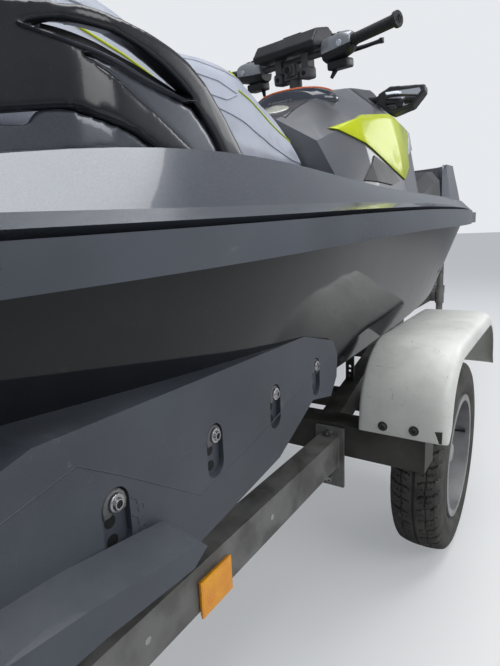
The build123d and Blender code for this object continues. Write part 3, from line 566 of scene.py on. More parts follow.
def mirrored(bm):
    """Adds the same shape on the other side of the craft."""
    twin = bmesh.ops.duplicate(bm, geom=bm.verts[:] + bm.edges[:] + bm.faces[:])["geom"]
    verts = [item for item in twin if isinstance(item, bmesh.types.BMVert)]
    faces = [item for item in twin if isinstance(item, bmesh.types.BMFace)]
    place(bm, verts, Matrix.Diagonal((1.0, -1.0, 1.0, 1.0)))
    bmesh.ops.reverse_faces(bm, faces=faces)


def bolt_head(bm, centre, axis, radius, height, socket=0.55):
    """The head of a screw, tapered outwards, with its socket sunk in."""
    others = set(bm.verts)
    axis = Vector(axis).normalized()
    turn = axis.to_track_quat("Z", "Y").to_matrix().to_4x4()
    made = bmesh.ops.create_cone(bm, cap_ends=True, segments=24, radius1=radius, radius2=radius * 0.82,
                                 depth=height)["verts"]
    top = max({face for vert in made for face in vert.link_faces},
              key=lambda face: face.calc_center_median().z)
    bmesh.ops.inset_region(bm, faces=[top], thickness=radius * (0.82 - socket), depth=0.0)
    bmesh.ops.inset_region(bm, faces=[top], thickness=0.0004, depth=-height * 0.55)
    place(bm, [vert for vert in bm.verts if vert not in others],
          Matrix.Translation(Vector(centre) + axis * height / 2) @ turn)


def hex_nut(bm, centre, axis, radius, height):
    """A nut on the end of its stud."""
    axis = Vector(axis)
    add_rod(bm, centre, centre + axis * height, radius, radius * 0.94, 6)
    add_rod(bm, centre, centre + axis * (height * 1.6), radius * 0.5, radius * 0.42, 16)


# Grab handle and haunches, with places along the craft and heights in metres
WALL_Y, BEND_RADIUS, BEND_FROM, BEND_TO = 0.405, 0.110, 0.600, 0.529


def slimmed(spot):
    """The arch's underside, eased upward towards the seat, so that its section is round there."""
    x = from_stern(spot)
    inward = clamp((0.422 - abs(spot.y)) / 0.034)
    if not 0.50 < x < 0.80 or inward == 0.0 or abs(spot.y) < 0.36:
        return spot
    rim = 1.212 - max(0.0, x - 0.60) * 0.36
    under = 0.0
    if spot.z > rim - 0.022 - max(0.0, x - 0.70) * 0.5:
        under = clamp((rim + 0.014 - spot.z) / 0.020)
    rise = 0.007 + 0.015 * clamp((x - 0.60) / 0.12)
    ends = min(1.0, (x - 0.50) / 0.03, (0.80 - x) / 0.05)
    return spot + Vector((0, 0, inward * under * rise * ends))


softened("grab_handle", 0.008, 2, 40, 5, slimmed)

# The opening's lower lip and the black lining behind it, both following the wall's bend in plan
LIP = [(0.504, 1.2050), (0.524, 1.1970), (0.548, 1.1885), (0.590, 1.1792), (0.634, 1.1700), (0.680, 1.1630),
       (0.722, 1.1570), (0.742, 1.1600)]
LINING = [(0.530, 1.2160), (0.575, 1.2080), (0.620, 1.2010), (0.661, 1.1950), (0.700, 1.1870),
          (0.735, 1.1790), (0.776, 1.1690)]
LIP_STEPS = 60


def wall_y(x):
    """Distance of the middle of the handle's wall from the middle of the craft."""
    if x >= BEND_FROM:
        return WALL_Y
    if x >= BEND_TO:
        return WALL_Y - BEND_RADIUS + math.sqrt(BEND_RADIUS ** 2 - (BEND_FROM - x) ** 2)
    return 0.379 - (BEND_TO - x) * 0.840


lips, linings = bmesh.new(), bmesh.new()
for side in (1, -1):
    rings = []
    for i, spot in enumerate(even_steps([at(x, 0, z) for x, z in LIP], LIP_STEPS)):
        x = from_stern(spot)
        share = i / (LIP_STEPS - 1)
        swell = math.sin(math.pi * min(1.0, share * 1.12 + 0.02)) if share < 0.87 else 0.0
        out = Vector(((wall_y(x - 0.001) - wall_y(x + 0.001)) / 0.002, 1.0, 0.0)).normalized()
        out.y *= side
        middle = Vector((spot.x, side * wall_y(x), spot.z))
        rings.append(hoop(middle, out * 0.0180, Vector((0, 0, 0.0010 + 0.0036 * swell)), 20))
    skinned(lips, rings)
    rings = []
    for spot in even_steps([at(x, 0, z) for x, z in LINING], 30):
        near, far = (side * (wall_y(from_stern(spot)) - inset) for inset in (0.0165, 0.0285))
        foot = spot.z - 0.045
        rings.append([Vector((spot.x, y, z))
                      for y, z in ((near, foot), (near, spot.z), (far, spot.z), (far, foot))])
    skinned(linings, rings)
closed_piece("handle_lips", lips, "deck_grey", angle=50.0)
closed_piece("handle_linings", linings, "black_plastic", angle=50.0)
rounded("haunches", 0.004, 6)


# Seats

def eased_down(seat, slope):
    """Lowers a seat's crest towards its front, by a table of places along the craft and drops."""
    for vert in seat.data.vertices:
        low, high, share = row_pair(slope, from_stern(vert.co))
        drop = low[1] + (high[1] - low[1]) * clamp(share)
        vert.co.z -= drop * clamp((vert.co.z - 1.14) / 0.26)


def upholster(node_name, shrink, cap, slope=()):
    """A padded seat from its CAD block: eased corners, then inflated a little and held to a cap."""
    bm = solid_copy(node_name)
    low, high = (Vector(corner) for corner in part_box(node_name))
    centre = (low + high) / 2
    factors = [1 - 2 * shrink / length for length in high - low]
    place(bm, bm.verts[:], Matrix.Translation(centre) @ Matrix.Diagonal((*factors, 1.0))
          @ Matrix.Translation(-centre))
    seat = remeshed(stand_in(node_name, "_cushion", bm, 70.0), 0.010, 5)
    if slope:
        eased_down(seat, slope)
    before = [vert.co.copy() for vert in seat.data.vertices]
    cloth = seat.modifiers.new("stuffing", "CLOTH")
    cloth.settings.use_pressure = True
    cloth.settings.uniform_pressure_force = 4.0
    cloth.settings.effector_weights.gravity = 0.0
    cloth.settings.quality = 5
    for moment in range(1, 21):
        bpy.context.scene.frame_set(moment)
    graph = bpy.context.evaluated_depsgraph_get()
    after = [vert.co.copy() for vert in seat.evaluated_get(graph).data.vertices]
    seat.modifiers.clear()
    for vert, old, new in zip(seat.data.vertices, before, after):
        move = new - old
        if move.length > cap:
            move = move.normalized() * cap
        vert.co = old + move
    bpy.context.scene.frame_set(1)
    smooth = seat.modifiers.new("smooth", "SUBSURF")
    smooth.levels = smooth.render_levels = 1
    settle(seat)


upholster("seat_rear", 0.006, 0.008)
upholster("seat_front", 0.006, 0.008,
          [(1.00, 0.0), (1.18, 0.012), (1.30, 0.022), (1.41, 0.058), (1.56, 0.066)])

# Tyres: a spun section whose tread grooves are pressed in
TYRE_RADIUS, HALF_TRACK, TREAD_HALF, TREAD_STEPS = 0.284, 0.610, 0.056, 52
TYRE_SECTION = [(0.172, -0.058), (0.187, -0.0595), (0.193, -0.063), (0.215, -0.0695), (0.225, -0.0698),
                (0.228, -0.0685), (0.250, -0.0675), (0.262, -0.0650), (0.2715, -0.0605)]
SIPE_COUNT = 46


def groove_depth(along, across):
    """How deep the tread is cut at a place, in metres: a middle groove, two ribs and curved side grooves."""
    side = abs(across)
    pitch = 2 * math.pi * TYRE_RADIUS / SIPE_COUNT
    depth = 0.0
    if side < 0.0035:
        depth = 0.0065
    sweep = 0.034 * (side / TREAD_HALF) ** 1.6 + 0.006 * math.sin(side * 90)
    turn = sweep if across > 0 else sweep + pitch * 0.5
    phase = (along + turn) % pitch
    if side > 0.009 and phase < 0.0042 + 0.002 * side / TREAD_HALF:
        depth = 0.006
    if abs(side - 0.031 - 0.0015 * math.sin(along * 90)) < 0.0016:
        depth = max(depth, 0.0048)
    half_way = (along + turn + pitch * 0.5) % pitch
    if 0.014 < side < 0.046 and half_way < 0.0022:
        depth = max(depth, 0.003)
    return depth


def make_tyre(side_name, middle):
    tread = []
    for i in range(TREAD_STEPS + 1):
        across = -TREAD_HALF + 2 * TREAD_HALF * i / TREAD_STEPS
        tread.append((0.2838 - 0.0075 * (abs(across) / TREAD_HALF) ** 2.6, across))
    section = TYRE_SECTION + tread + [(r, -y) for r, y in reversed(TYRE_SECTION)]
    bm = bmesh.new()
    line = ring_of(bm, [middle + Vector((r, y, 0)) for r, y in section], True)
    bmesh.ops.spin(bm, geom=line, cent=middle, axis=(0, 1, 0), angle=2 * math.pi, steps=600, use_merge=True,
                   dvec=(0, 0, 0))
    for vert in bm.verts:
        off = vert.co - middle
        radius = math.hypot(off.x, off.z)
        if radius > 0.258 and abs(off.y) < 0.0665:
            along = math.atan2(off.z, off.x) * TYRE_RADIUS
            depth = groove_depth(along, off.y) * clamp((radius - 0.258) / 0.012)
            scale = (radius - depth) / radius
            vert.co = middle + Vector((off.x * scale, off.y, off.z * scale))
    closed_piece("tyre_tread_" + side_name, bm, "tyre", "wheel_" + side_name, ("tyre_" + side_name,), 28.0)


for side_name, outward in (("left", 1), ("right", -1)):
    hub = at(1.594, outward * HALF_TRACK, TYRE_RADIUS)
    body = "wheel_" + side_name
    make_tyre(side_name, hub)
    bm = bmesh.new()
    for turn in round_angles(5):
        spot = hub + Vector((0.056 * math.cos(turn + 0.4), 0, 0.056 * math.sin(turn + 0.4)))
        hex_nut(bm, spot, (0, outward, 0), 0.0105, 0.012)
    add_rod(bm, hub + Vector((0, outward * 0.030, 0)), hub + Vector((0, outward * 0.044, 0)),
            0.034, 0.026, 32, 0.003)
    new_piece("wheel_nuts_" + side_name, bm, "steel", body)
    bm = bmesh.new()
    foot = hub + Vector((0.150, outward * 0.010, 0.012))
    cap = foot + Vector((0.006, outward * 0.034, 0))
    add_rod(bm, foot, cap, 0.0042, 0.0036, 14)
    add_rod(bm, cap, foot + Vector((0.0075, outward * 0.044, 0)), 0.0048, 0.0044, 14, 0.0008)
    new_piece("valve_stem_" + side_name, bm, "hole_black", body)
    # Painted shade: thin black discs on the rim stand in for the shade inside its eight openings
    bm = bmesh.new()
    for turn in round_angles(8):
        spot = hub + Vector((0.128 * math.cos(turn), outward * 0.0002, 0.128 * math.sin(turn)))
        add_rod(bm, spot, spot + Vector((0, outward * 0.0006, 0)), 0.015)
    new_piece("rim_openings_" + side_name, bm, "hole_black", body)

# Fenders: a pressed arch with a rolled outer edge
ARCH = [(1.1905, 0.482)]
CORNER = 0.175
for start_x, start_z, first, last in ((1.3655, 0.515, 180, 90), (1.790, 0.515, 90, 0)):
    for k in range(15):
        angle = math.radians(first + (last - first) * k / 14)
        ARCH.append((start_x + CORNER * math.cos(angle), start_z + CORNER * math.sin(angle)))
ARCH.append((1.9645, 0.482))
ROLL_PROFILE = [(0.5055, -0.014), (0.5060, -0.006), (0.5100, -0.0010), (0.5180, 0.0), (0.56, 0.0),
                (0.62, 0.0), (0.668, -0.0004), (0.690, -0.003), (0.703, -0.009), (0.7105, -0.018),
                (0.7135, -0.030), (0.7145, -0.044)]
bm = bmesh.new()
rings = []
for i, (x, z) in enumerate(ARCH):
    before, after = ARCH[max(i - 1, 0)], ARCH[min(i + 1, len(ARCH) - 1)]
    run = Vector((after[0] - before[0], 0, after[1] - before[1])).normalized()
    outward = Vector((-run.z, 0, run.x))
    tuck = 0.3 if i in (0, len(ARCH) - 1) else 1.0
    rings.append([at(x, y, z) + outward * (drop * tuck) for y, drop in ROLL_PROFILE])
skinned(bm, rings, False)
bmesh.ops.recalc_face_normals(bm, faces=bm.faces)
mirrored(bm)
fenders = new_piece("fender_pressings", bm, "fender_white", "root", ("fenders",), 50.0)
wall = fenders.modifiers.new("wall", "SOLIDIFY")
wall.thickness = 0.0025
wall.offset = -1.0
round_over = fenders.modifiers.new("round", "SUBSURF")
round_over.levels = round_over.render_levels = 2
settle(fenders)
bm = bmesh.new()
for y, z in ((-0.567, 0.504), (-0.639, 0.506), (0.567, 0.504), (0.639, 0.506)):
    for x, axis in ((1.1905, (-1, 0, 0)), (1.9645, (1, 0, 0))):
        bolt_head(bm, at(x, y, z), axis, 0.0075, 0.006)
        add_rod(bm, at(x, y, z) - Vector(axis) * 0.0005, at(x, y, z) + Vector(axis) * 0.0012, 0.0115)
new_piece("fender_bolts", bm, "chassis_dark")

# Sponsons: slotted mounting pockets with a socket screw and two spare holes each; the spare holes and the
# screws' sockets are filled with painted shade
SLOTS, SLOT_X, SLOT_PITCH, SLOT_DEPTH, SCREW_Z, TAPER = 4, 0.408, 0.171, 0.009, 0.7165, 0.066
POCKET = [(-0.0150, 0.704), (-0.0166, 0.7135), (-0.0144, 0.7215), (-0.0083, 0.7278), (0.0, 0.7300),
          (0.0083, 0.7278), (0.0144, 0.7215), (0.0166, 0.7135), (0.0150, 0.704), (0.0080, 0.7035),
          (0.0, 0.7065), (-0.0080, 0.7035)]
V_LINE = [(0.255, 0.752), (0.369, 0.773), (0.422, 0.738), (0.543, 0.653), (0.664, 0.663), (0.9, 0.700),
          (1.02, 0.716)]


def on_sponson(x, z, inside=0.0):
    """A place on the outer face of the starboard sponson, or some way in from it."""
    return at(x, inside - 0.571 + (x - 0.230) * TAPER, z)


screws, washers, bosses, holes, marks = (bmesh.new() for _ in range(5))


def raised_line(places, radius, sides, inside=0.0):
    spots = [on_sponson(x, z, inside) for x, z in places]
    for start, end in zip(spots, spots[1:]):
        add_rod(marks, start, end, radius, None, sides)


out = Vector((TAPER, -1.0, 0.0)).normalized()
for i in range(SLOTS):
    x = SLOT_X + i * SLOT_PITCH
    rings = []
    for inside, size in ((SLOT_DEPTH, 1.0), (0.0035, 1.0), (0.0012, 0.92), (0.0002, 0.76), (0.0002, 0.40)):
        rings.append([on_sponson(x + dx * size, SCREW_Z + (z - SCREW_Z) * size, inside) for dx, z in POCKET])
    skinned(bosses, rings)
    spot = on_sponson(x, SCREW_Z, 0.001)
    add_rod(washers, spot, spot + out * 0.0042, 0.0102, 0.0094, 32, 0.0008)
    bolt_head(screws, on_sponson(x, SCREW_Z, -0.0030), out, 0.0066, 0.0030, 0.62)
    # Painted shade: a black disc at the floor of each spare hole
    for dx, z in ((-0.002, 0.6945), (-0.001, 0.6735)):
        add_rod(holes, on_sponson(x + dx, z, SLOT_DEPTH + 0.001), on_sponson(x + dx, z, SLOT_DEPTH - 0.0005),
                0.0066, None, 20)
    # Painted shade: six thin black rods sunk in each screw's hex socket
    for turn in round_angles(6):
        hex_side = (x + 0.0024 * math.cos(turn), SCREW_Z + 0.0024 * math.sin(turn))
        add_rod(holes, on_sponson(*hex_side, -0.0036), on_sponson(*hex_side, -0.0052), 0.0016, None, 8)
for z_end, z_slot in ((0.694, 0.711), (0.671, 0.691), (0.649, 0.667)):
    raised_line([(0.4285, z_slot), (0.4345, z_slot - 0.004), (0.4365, z_end + 0.006)], 0.0007, 6)
    ring = [(0.4405 + 0.0042 * math.cos(a), z_end + 0.0042 * math.sin(a)) for a in round_angles(20)]
    raised_line(ring + ring[:1], 0.0006, 6)
raised_line(V_LINE, 0.0010, 8, 0.0004)
for name, bm, finish in (("sponson_screws", screws, "steel"), ("sponson_washers", washers, "steel"),
                         ("sponson_bosses", bosses, "cast_grey"), ("sponson_holes", holes, "hole_black"),
                         ("sponson_raised_lines", marks, "sponson_grey")):
    mirrored(bm)
    closed_piece(name, bm, finish)

# Frame rails: bolts, holes' plugs and welds; the reflectors' frames
bm = bmesh.new()
for side in (1, -1):
    for z in (0.336, 0.462):
        bolt_head(bm, at(1.185, side * 0.4325, z), (-1, 0, 0), 0.009, 0.007)
    for x in (0.20, 0.52, 0.86):
        add_rod(bm, at(x, side * 0.455, 0.415), at(x, side * 0.4555, 0.415), 0.006, None, 16)
    for z in (0.470, 0.400):
        bolt_head(bm, at(1.273, side * 0.36, z), (1, 0, 0), 0.008, 0.006)
new_piece("frame_bolts", bm, "steel")
bm = bmesh.new()
for side in (1, -1):
    add_box(bm, at(0.629, side * 0.4605 - 0.0022, 0.3655), at(0.711, side * 0.4605 + 0.0022, 0.4305), 0.0012)
new_piece("reflector_frames", bm, "amber")
bm = bmesh.new()
for side in (1, -1):
    corners = [at(1.184, side * y, z)
               for y, z in ((0.404, 0.455), (0.456, 0.455), (0.456, 0.376), (0.404, 0.376))]
    for start, end in zip(corners, corners[1:]):
        add_rod(bm, start, end, 0.0035, None, 8)
new_piece("frame_welds", bm, "galvanised")

# Front body, mirrors and small mouldings with their edges rounded over
for node_name, voxel, passes in (("mirror_shells", 0.0034, 6), ("bar_pad", 0.0032, 6), ("bunks", 0.008, 4),
                                 ("gauge_pod", 0.0036, 4)):
    rounded(node_name, voxel, passes)
for node_name, size, passes, crisp in (("fairing", 0.022, 4, 20), ("hood_lid", 0.014, 5, 20),
                                       ("nose_skirt", 0.014, 8, 24), ("bow_cowl", 0.014, 24, 62),
                                       ("deck", 0.036, 9, 19), ("hull", 0.046, 3, 17),
                                       ("bumper", 0.026, 8, 24)):
    softened(node_name, size, passes, crisp)

# Thin panels with their edges broken
for node_name in ("lime_panels", "headlamps"):
    bm = solid_copy(node_name)
    bmesh.ops.dissolve_limit(bm, angle_limit=math.radians(1.0), verts=bm.verts, edges=bm.edges)
    broken(bm, sharp_edges(bm.edges, 30.0), 0.0014, 2)
    stand_in(node_name, "_panel", bm, 40.0)

# The hood's outer skin, a thin moulding that laps over the seam round the lid
FAIRING = [(2.050, 0.312, 1.365, 0.125, 1.505), (2.350, 0.290, 1.352, 0.122, 1.556),
           (2.600, 0.232, 1.320, 0.115, 1.522), (2.850, 0.170, 1.290, 0.095, 1.440),
           (3.080, 0.130, 1.245, 0.070, 1.330)]
HOOD_START, HOOD_LENGTH, HOOD_STEPS, HOOD_SIDE = 2.106, 0.886, 45, 20


def fairing_height(x, y):
    """Height of the front body's skin at a distance from the stern and from the middle."""
    low, high, share = row_pair(FAIRING, x)
    side_y, side_z, top_y, top_z = (a + (b - a) * share for a, b in zip(low[1:], high[1:]))
    if abs(y) <= top_y:
        return top_z + 0.012 * (1 - abs(y) / top_y)
    return top_z + (side_z - top_z) * (abs(y) - top_y) / (side_y - top_y)


bm = bmesh.new()
rings = []
for i in range(HOOD_STEPS + 1):
    x = HOOD_START + HOOD_LENGTH * i / HOOD_STEPS
    half = 0.229 - (x - HOOD_START) * 0.118
    tuck = 0.0035 if i in (0, HOOD_STEPS) else 0.0
    outer, inner = [], []
    for k in range(-HOOD_SIDE, HOOD_SIDE + 1):
        y = half * k / HOOD_SIDE
        height = sum(fairing_height(x, y + off) for off in (-0.004, 0.0, 0.004)) / 3
        tilt = fairing_height(x, abs(y) + 0.004) - fairing_height(x, abs(y) - 0.004)
        normal = Vector((0, -tilt / 0.008 * (1 if y > 0 else -1), 1)).normalized()
        lift = 0.0048 - tuck - (0.0024 if abs(k) == HOOD_SIDE else 0.0)
        outer.append(at(x, y, height) + normal * lift)
        inner.append(at(x, y, height) - normal * 0.0010)
    rings.append(outer + inner[::-1])
skinned(bm, rings)
closed_piece("hood_skin", bm, "hood_black", "hood", angle=40.0)

# Instrument hood: the orange rim, and the inlay on the glove lid behind it
DOME_MIDDLE, DOME_SIZE = (1.850, 1.420), (0.096, 0.180, 0.060)


def across_dome(x_middle, bow, reach, steps, lift):
    """Places in a bowed row across the instrument hood."""
    row = []
    for k in range(steps + 1):
        y = -reach + 2 * reach * k / steps
        x = x_middle + bow * (y / 0.170) ** 2
        share = 1 - ((x - DOME_MIDDLE[0]) / DOME_SIZE[0]) ** 2 - (y / DOME_SIZE[1]) ** 2
        row.append(at(x, y, DOME_MIDDLE[1] + DOME_SIZE[2] * math.sqrt(max(share, 0.0)) + lift))
    return row


bead("gauge_rim", across_dome(1.786, 0.070, 0.160, 40, 0.0004), 0.0036, "orange_trim", 0.55)
for row in range(3):
    bead("gauge_line_%d" % row, across_dome(1.812 + 0.020 * row, 0.040, 0.110, 24, -0.0002), 0.0012,
         "smoked", 0.5)

DOWN = Vector((0, 0, -1))
LID_SKIN = surface_of("glove_lid")
bm = bmesh.new()
rings = []
for share, lift in ((1.0, 0.0003), (0.97, 0.0020), (0.90, 0.0026), (0.65, 0.0026), (0.35, 0.0026),
                    (0.08, 0.0026)):
    oval = hoop(at(1.665, 0, 1.60), Vector((0.048 * share, 0, 0)), Vector((0, 0.078 * share, 0)), 40)
    rings.append(laid(LID_SKIN, oval, DOWN, lift))
skinned(bm, rings)
closed_piece("glove_lid_inlay", bm, "cream_gloss", "glove_lid")

# Handlebar: ribbed grips, two-part switch housings with their controls, the pad's slot as painted shade, and
# the key post
BAR = Matrix.Translation(at(1.866, 0, 1.580)) @ Matrix.Rotation(math.radians(-8), 4, "Y") \
    @ Matrix.Rotation(math.radians(-10), 4, "Z")
BEND, SWEEP, RISE, GRIP_OUT, GRIP_IN = 0.150, 0.040, 0.020, 0.434, 0.262


def along_bar(y):
    share = max(0.0, abs(y) - BEND) / (GRIP_OUT - BEND)
    return Vector((-SWEEP * share, y, RISE * share))


def bar_piece(name, bm, finish, stands_for=(), angle=35.0):
    place(bm, bm.verts[:], BAR)
    return closed_piece(name, bm, finish, "handlebar", stands_for, angle)


bm = bmesh.new()
radii = [(GRIP_IN + 0.004, 0.0150), (GRIP_IN + 0.0042, 0.0192), (GRIP_IN + 0.008, 0.0196),
         (GRIP_IN + 0.0085, 0.0172)]
rib = GRIP_IN + 0.012
while rib < GRIP_OUT - 0.020:
    radii += [(rib, 0.0170), (rib + 0.0008, 0.0180), (rib + 0.0034, 0.0180), (rib + 0.0042, 0.0170)]
    rib += 0.0062
radii += [(GRIP_OUT - 0.0125, 0.0172), (GRIP_OUT - 0.0120, 0.0232), (GRIP_OUT - 0.0105, 0.0240),
          (GRIP_OUT - 0.0015, 0.0240), (GRIP_OUT, 0.0228), (GRIP_OUT, 0.0120)]
for side in (1, -1):
    direction = (along_bar(side * GRIP_OUT) - along_bar(side * GRIP_IN)).normalized()
    across = direction.cross(Vector((0, 0, 1))).normalized()
    over = across.cross(direction)
    skinned(bm, [hoop(along_bar(side * distance), across * radius, over * radius, 28)
                 for distance, radius in radii])
bar_piece("ribbed_grips", bm, "grip_rubber", ("grips",), 40.0)

# The silver halves: outlines across the bar, eased from the inner end to the grip
covers, lowers, buttons, knobs, levers = (bmesh.new() for _ in range(5))
HOUSING = [(0.140, 0.86), (0.146, 0.96), (0.175, 1.0), (0.215, 0.98), (0.246, 0.84), (0.258, 0.66),
           (0.260, 0.56)]
TOP_HALF = [(-0.036, -0.012), (-0.036, 0.014), (-0.028, 0.030), (-0.012, 0.039), (0.014, 0.040),
            (0.032, 0.032), (0.043, 0.014), (0.044, -0.012)]
LOW_HALF = [(0.042, -0.013), (0.036, -0.030), (0.020, -0.040), (-0.006, -0.040), (-0.026, -0.032),
            (-0.035, -0.013)]
LEVER = [(0.048, 0.172, 0.0090), (0.058, 0.215, 0.0080), (0.057, 0.262, 0.0070), (0.050, 0.300, 0.0065),
         (0.046, 0.330, 0.0078)]
for side in (1, -1):
    for bm, outline in ((covers, TOP_HALF), (lowers, LOW_HALF)):
        skinned(bm, [[along_bar(side * y) + Vector((x, 0, z)) * swell for x, z in outline]
                     for y, swell in HOUSING])
    for y in (0.186, 0.208):
        add_rod(buttons, (-0.014, side * y, 0.036), (-0.015, side * y, 0.0445), 0.0085, 0.0078, 24, 0.0012)
    add_rod(knobs, (-0.033, side * 0.222, 0.004), (-0.047, side * 0.222, 0.006), 0.0115, 0.0105, 28, 0.002)
    skinned(levers, [hoop(Vector((x, side * y, -0.006)), Vector((0.0055, 0, 0)), Vector((0, 0, tall)), 16)
                     for x, y, tall in LEVER])
    add_rod(levers, (0.046, side * 0.330, -0.014), (0.046, side * 0.330, 0.002), 0.0085, None, 20, 0.002)
    add_box(levers, (0.030, side * 0.164, -0.018), (0.060, side * 0.188, 0.004), 0.004)
    add_box(lowers, (-0.018, side * 0.152, -0.064), (0.034, side * 0.232, -0.034), 0.007, 3)
    add_rod(lowers, (0.012, side * 0.170, -0.060), (0.000, side * 0.158, -0.086), 0.009, 0.006, 18, 0.001)
for name, bm, finish, stands_for in (("switch_covers", covers, "silver_plastic", ("switch_housings",)),
                                     ("switch_bases", lowers, "black_plastic", ())):
    made = bar_piece(name, bm, finish, stands_for, 50.0)
    edge_bevel(made, 0.003, 30)
    settle(made)
bar_piece("switch_buttons", buttons, "black_plastic")
bar_piece("switch_knobs", knobs, "lamp_trim")
bar_piece("control_levers", levers, "black_satin", angle=45.0)

# Painted shade: a thin black block on the pad stands in for the shade inside its slot
bm = bmesh.new()
add_box(bm, (-0.016, -0.050, 0.0805), (0.006, 0.030, 0.0835), 0.004, 3)
bar_piece("pad_slot", bm, "hole_black")
bm = bmesh.new()
add_box(bm, (-0.036, -0.024, -0.052), (-0.024, 0.024, -0.008), 0.005, 3)
add_rod(bm, (-0.036, 0.0, -0.030), (-0.046, 0.0, -0.030), 0.0165, 0.0155, 32, 0.002)
for side in (1, -1):
    add_box(bm, (-0.030, side * 0.040, -0.070), (0.024, side * 0.082, -0.030), 0.009, 3)
bar_piece("column_clamps", bm, "cast_grey")
bm = bmesh.new()
add_rod(bm, (-0.046, 0.0, -0.030), (-0.0475, 0.0, -0.030), 0.0120, 0.0120, 32)
for side in (1, -1):
    add_rod(bm, (-0.031, side * 0.061, -0.050), (-0.034, side * 0.061, -0.050), 0.0075, 0.0068, 20)
bar_piece("key_post", bm, "hole_black")

# Seats: lime piping, panel seams and the crown's sewn channels
SEATS = surface_of("seat_rear_cushion", "seat_front_cushion")
SIDES, ABOVE_SEATS = (("right", -1), ("left", 1)), 1.7
PIPING = {
    "front_low": [(1.262, 1.331), (1.322, 1.313), (1.408, 1.272), (1.452, 1.251), (1.543, 1.224)],
    "rear_low": [(0.430, 1.292), (0.560, 1.328), (0.700, 1.323), (0.792, 1.304), (0.831, 1.297),
                 (0.880, 1.283), (0.920, 1.270), (0.949, 1.261), (0.978, 1.252)],
}
SEAMS = {
    "front_a": [(1.000, 1.250), (1.100, 1.262), (1.220, 1.250), (1.360, 1.205), (1.470, 1.176),
                (1.540, 1.168)],
    "front_b": [(1.010, 1.352), (1.110, 1.372), (1.240, 1.376), (1.350, 1.368), (1.470, 1.345),
                (1.542, 1.322)],
    "front_c": [(1.060, 1.330), (1.170, 1.335), (1.250, 1.318), (1.180, 1.290), (1.080, 1.288),
                (1.060, 1.330)],
    "rear_a": [(0.420, 1.190), (0.560, 1.212), (0.760, 1.214), (0.975, 1.205)],
    "rear_b": [(0.440, 1.318), (0.560, 1.352), (0.760, 1.362), (0.975, 1.360)],
}
for group, radius, finish in ((PIPING, 0.0026, "lime"), (SEAMS, 0.0021, "seat_vinyl")):
    for label, line in group.items():
        count = max(24, int(90 * abs(line[-1][0] - line[0][0])) + 30)
        for word, side in SIDES:
            start = even_steps([at(x, side * 0.6, z) for x, z in line], count)
            run = laid(SEATS, start, (0, -side, 0), radius * 0.25)
            bead("seat_%s_%s" % (label, word), run, radius, finish)
for label, x_from, x_to in (("rear", 0.44, 0.965), ("front", 1.015, 1.535)):
    for word, side in SIDES:
        start = even_steps([at(x_from, side * 0.070, ABOVE_SEATS), at(x_to, side * 0.060, ABOVE_SEATS)], 60)
        bead("seat_crown_%s_%s" % (label, word), laid(SEATS, start, DOWN, 0.0004), 0.0019, "seat_vinyl")
    for k in range(6):
        x = x_from + (x_to - x_from) * (k + 0.5) / 6
        start = even_steps([at(x, -0.066, ABOVE_SEATS), at(x + 0.018, 0.0, ABOVE_SEATS),
                            at(x, 0.066, ABOVE_SEATS)], 24)
        bead("seat_rib_%s_%d" % (label, k), laid(SEATS, start, DOWN, 0.0002), 0.0016, "seat_vinyl")
for word, side in SIDES:
    start = even_steps([at(x, side * y, ABOVE_SEATS)
                        for x, y in ((1.29, 0.104), (1.40, 0.100), (1.50, 0.086))], 40)
    bead("seat_crown_strip_" + word, laid(SEATS, start, DOWN, 0.0006), 0.0040, "lime", 0.5)

# Traction mats: rows of moulded ribs
MATS = surface_of("mats")
RIB_SECTION = [(-0.0045, -0.0004), (-0.0036, 0.0010), (-0.0018, 0.0016), (0.0018, 0.0016), (0.0036, 0.0010),
               (0.0045, -0.0004)]
STERN_PITCH, SIDE_PITCH, ABOVE_MATS = 0.0334, 0.0226, 1.3
ribs = bmesh.new()


def mat_rib(start, end):
    """One rounded rib, laid on the mats from its two ends seen from above, where they are flat."""
    run = laid(MATS, even_steps([at(*start, ABOVE_MATS), at(*end, ABOVE_MATS)], 12), DOWN, 0.0)
    if len(run) < 12 or max(spot.z for spot in run) - min(spot.z for spot in run) > 0.004:
        return
    aside = (run[-1] - run[0]).normalized().cross(Vector((0, 0, 1)))
    skinned(ribs, [[spot + aside * wide - DOWN * tall for wide, tall in RIB_SECTION] for spot in run])


for k in range(26):
    y = -0.418 + STERN_PITCH * k
    mat_rib((0.032, y), (0.306, y))
for side in (1, -1):
    for k in range(53):
        x = 0.932 + SIDE_PITCH * k
        mat_rib((x, side * 0.242), (x, side * 0.420))
closed_piece("mat_ribs", ribs, "mat_foam")

# Winch strap: flat webbing pulled taut from the drum to the bow eye
STRAP_ENDS = (at(3.752, 0, 0.929), at(3.425, 0, 0.742))
bm = bmesh.new()
along = (STRAP_ENDS[1] - STRAP_ENDS[0]).normalized()
lift = along.cross(Vector((0, 1, 0))).normalized()
section = [(-0.0250, 0.0004), (-0.0240, 0.0013), (-0.0222, 0.0015), (-0.0200, 0.0011), (0.0200, 0.0011),
           (0.0222, 0.0015), (0.0240, 0.0013), (0.0250, 0.0004)]
section += [(wide, -tall) for wide, tall in section[::-1]]
skinned(bm, [[spot + Vector((0, wide, 0)) + lift * tall for wide, tall in section]
             for spot in even_steps(STRAP_ENDS, 40)])
winch_strap = closed_piece("winch_strap_webbing", bm, "webbing", "root", ("winch_strap",), 40.0)
[list(spot) for spot in even_steps(STRAP_ENDS, 12)]

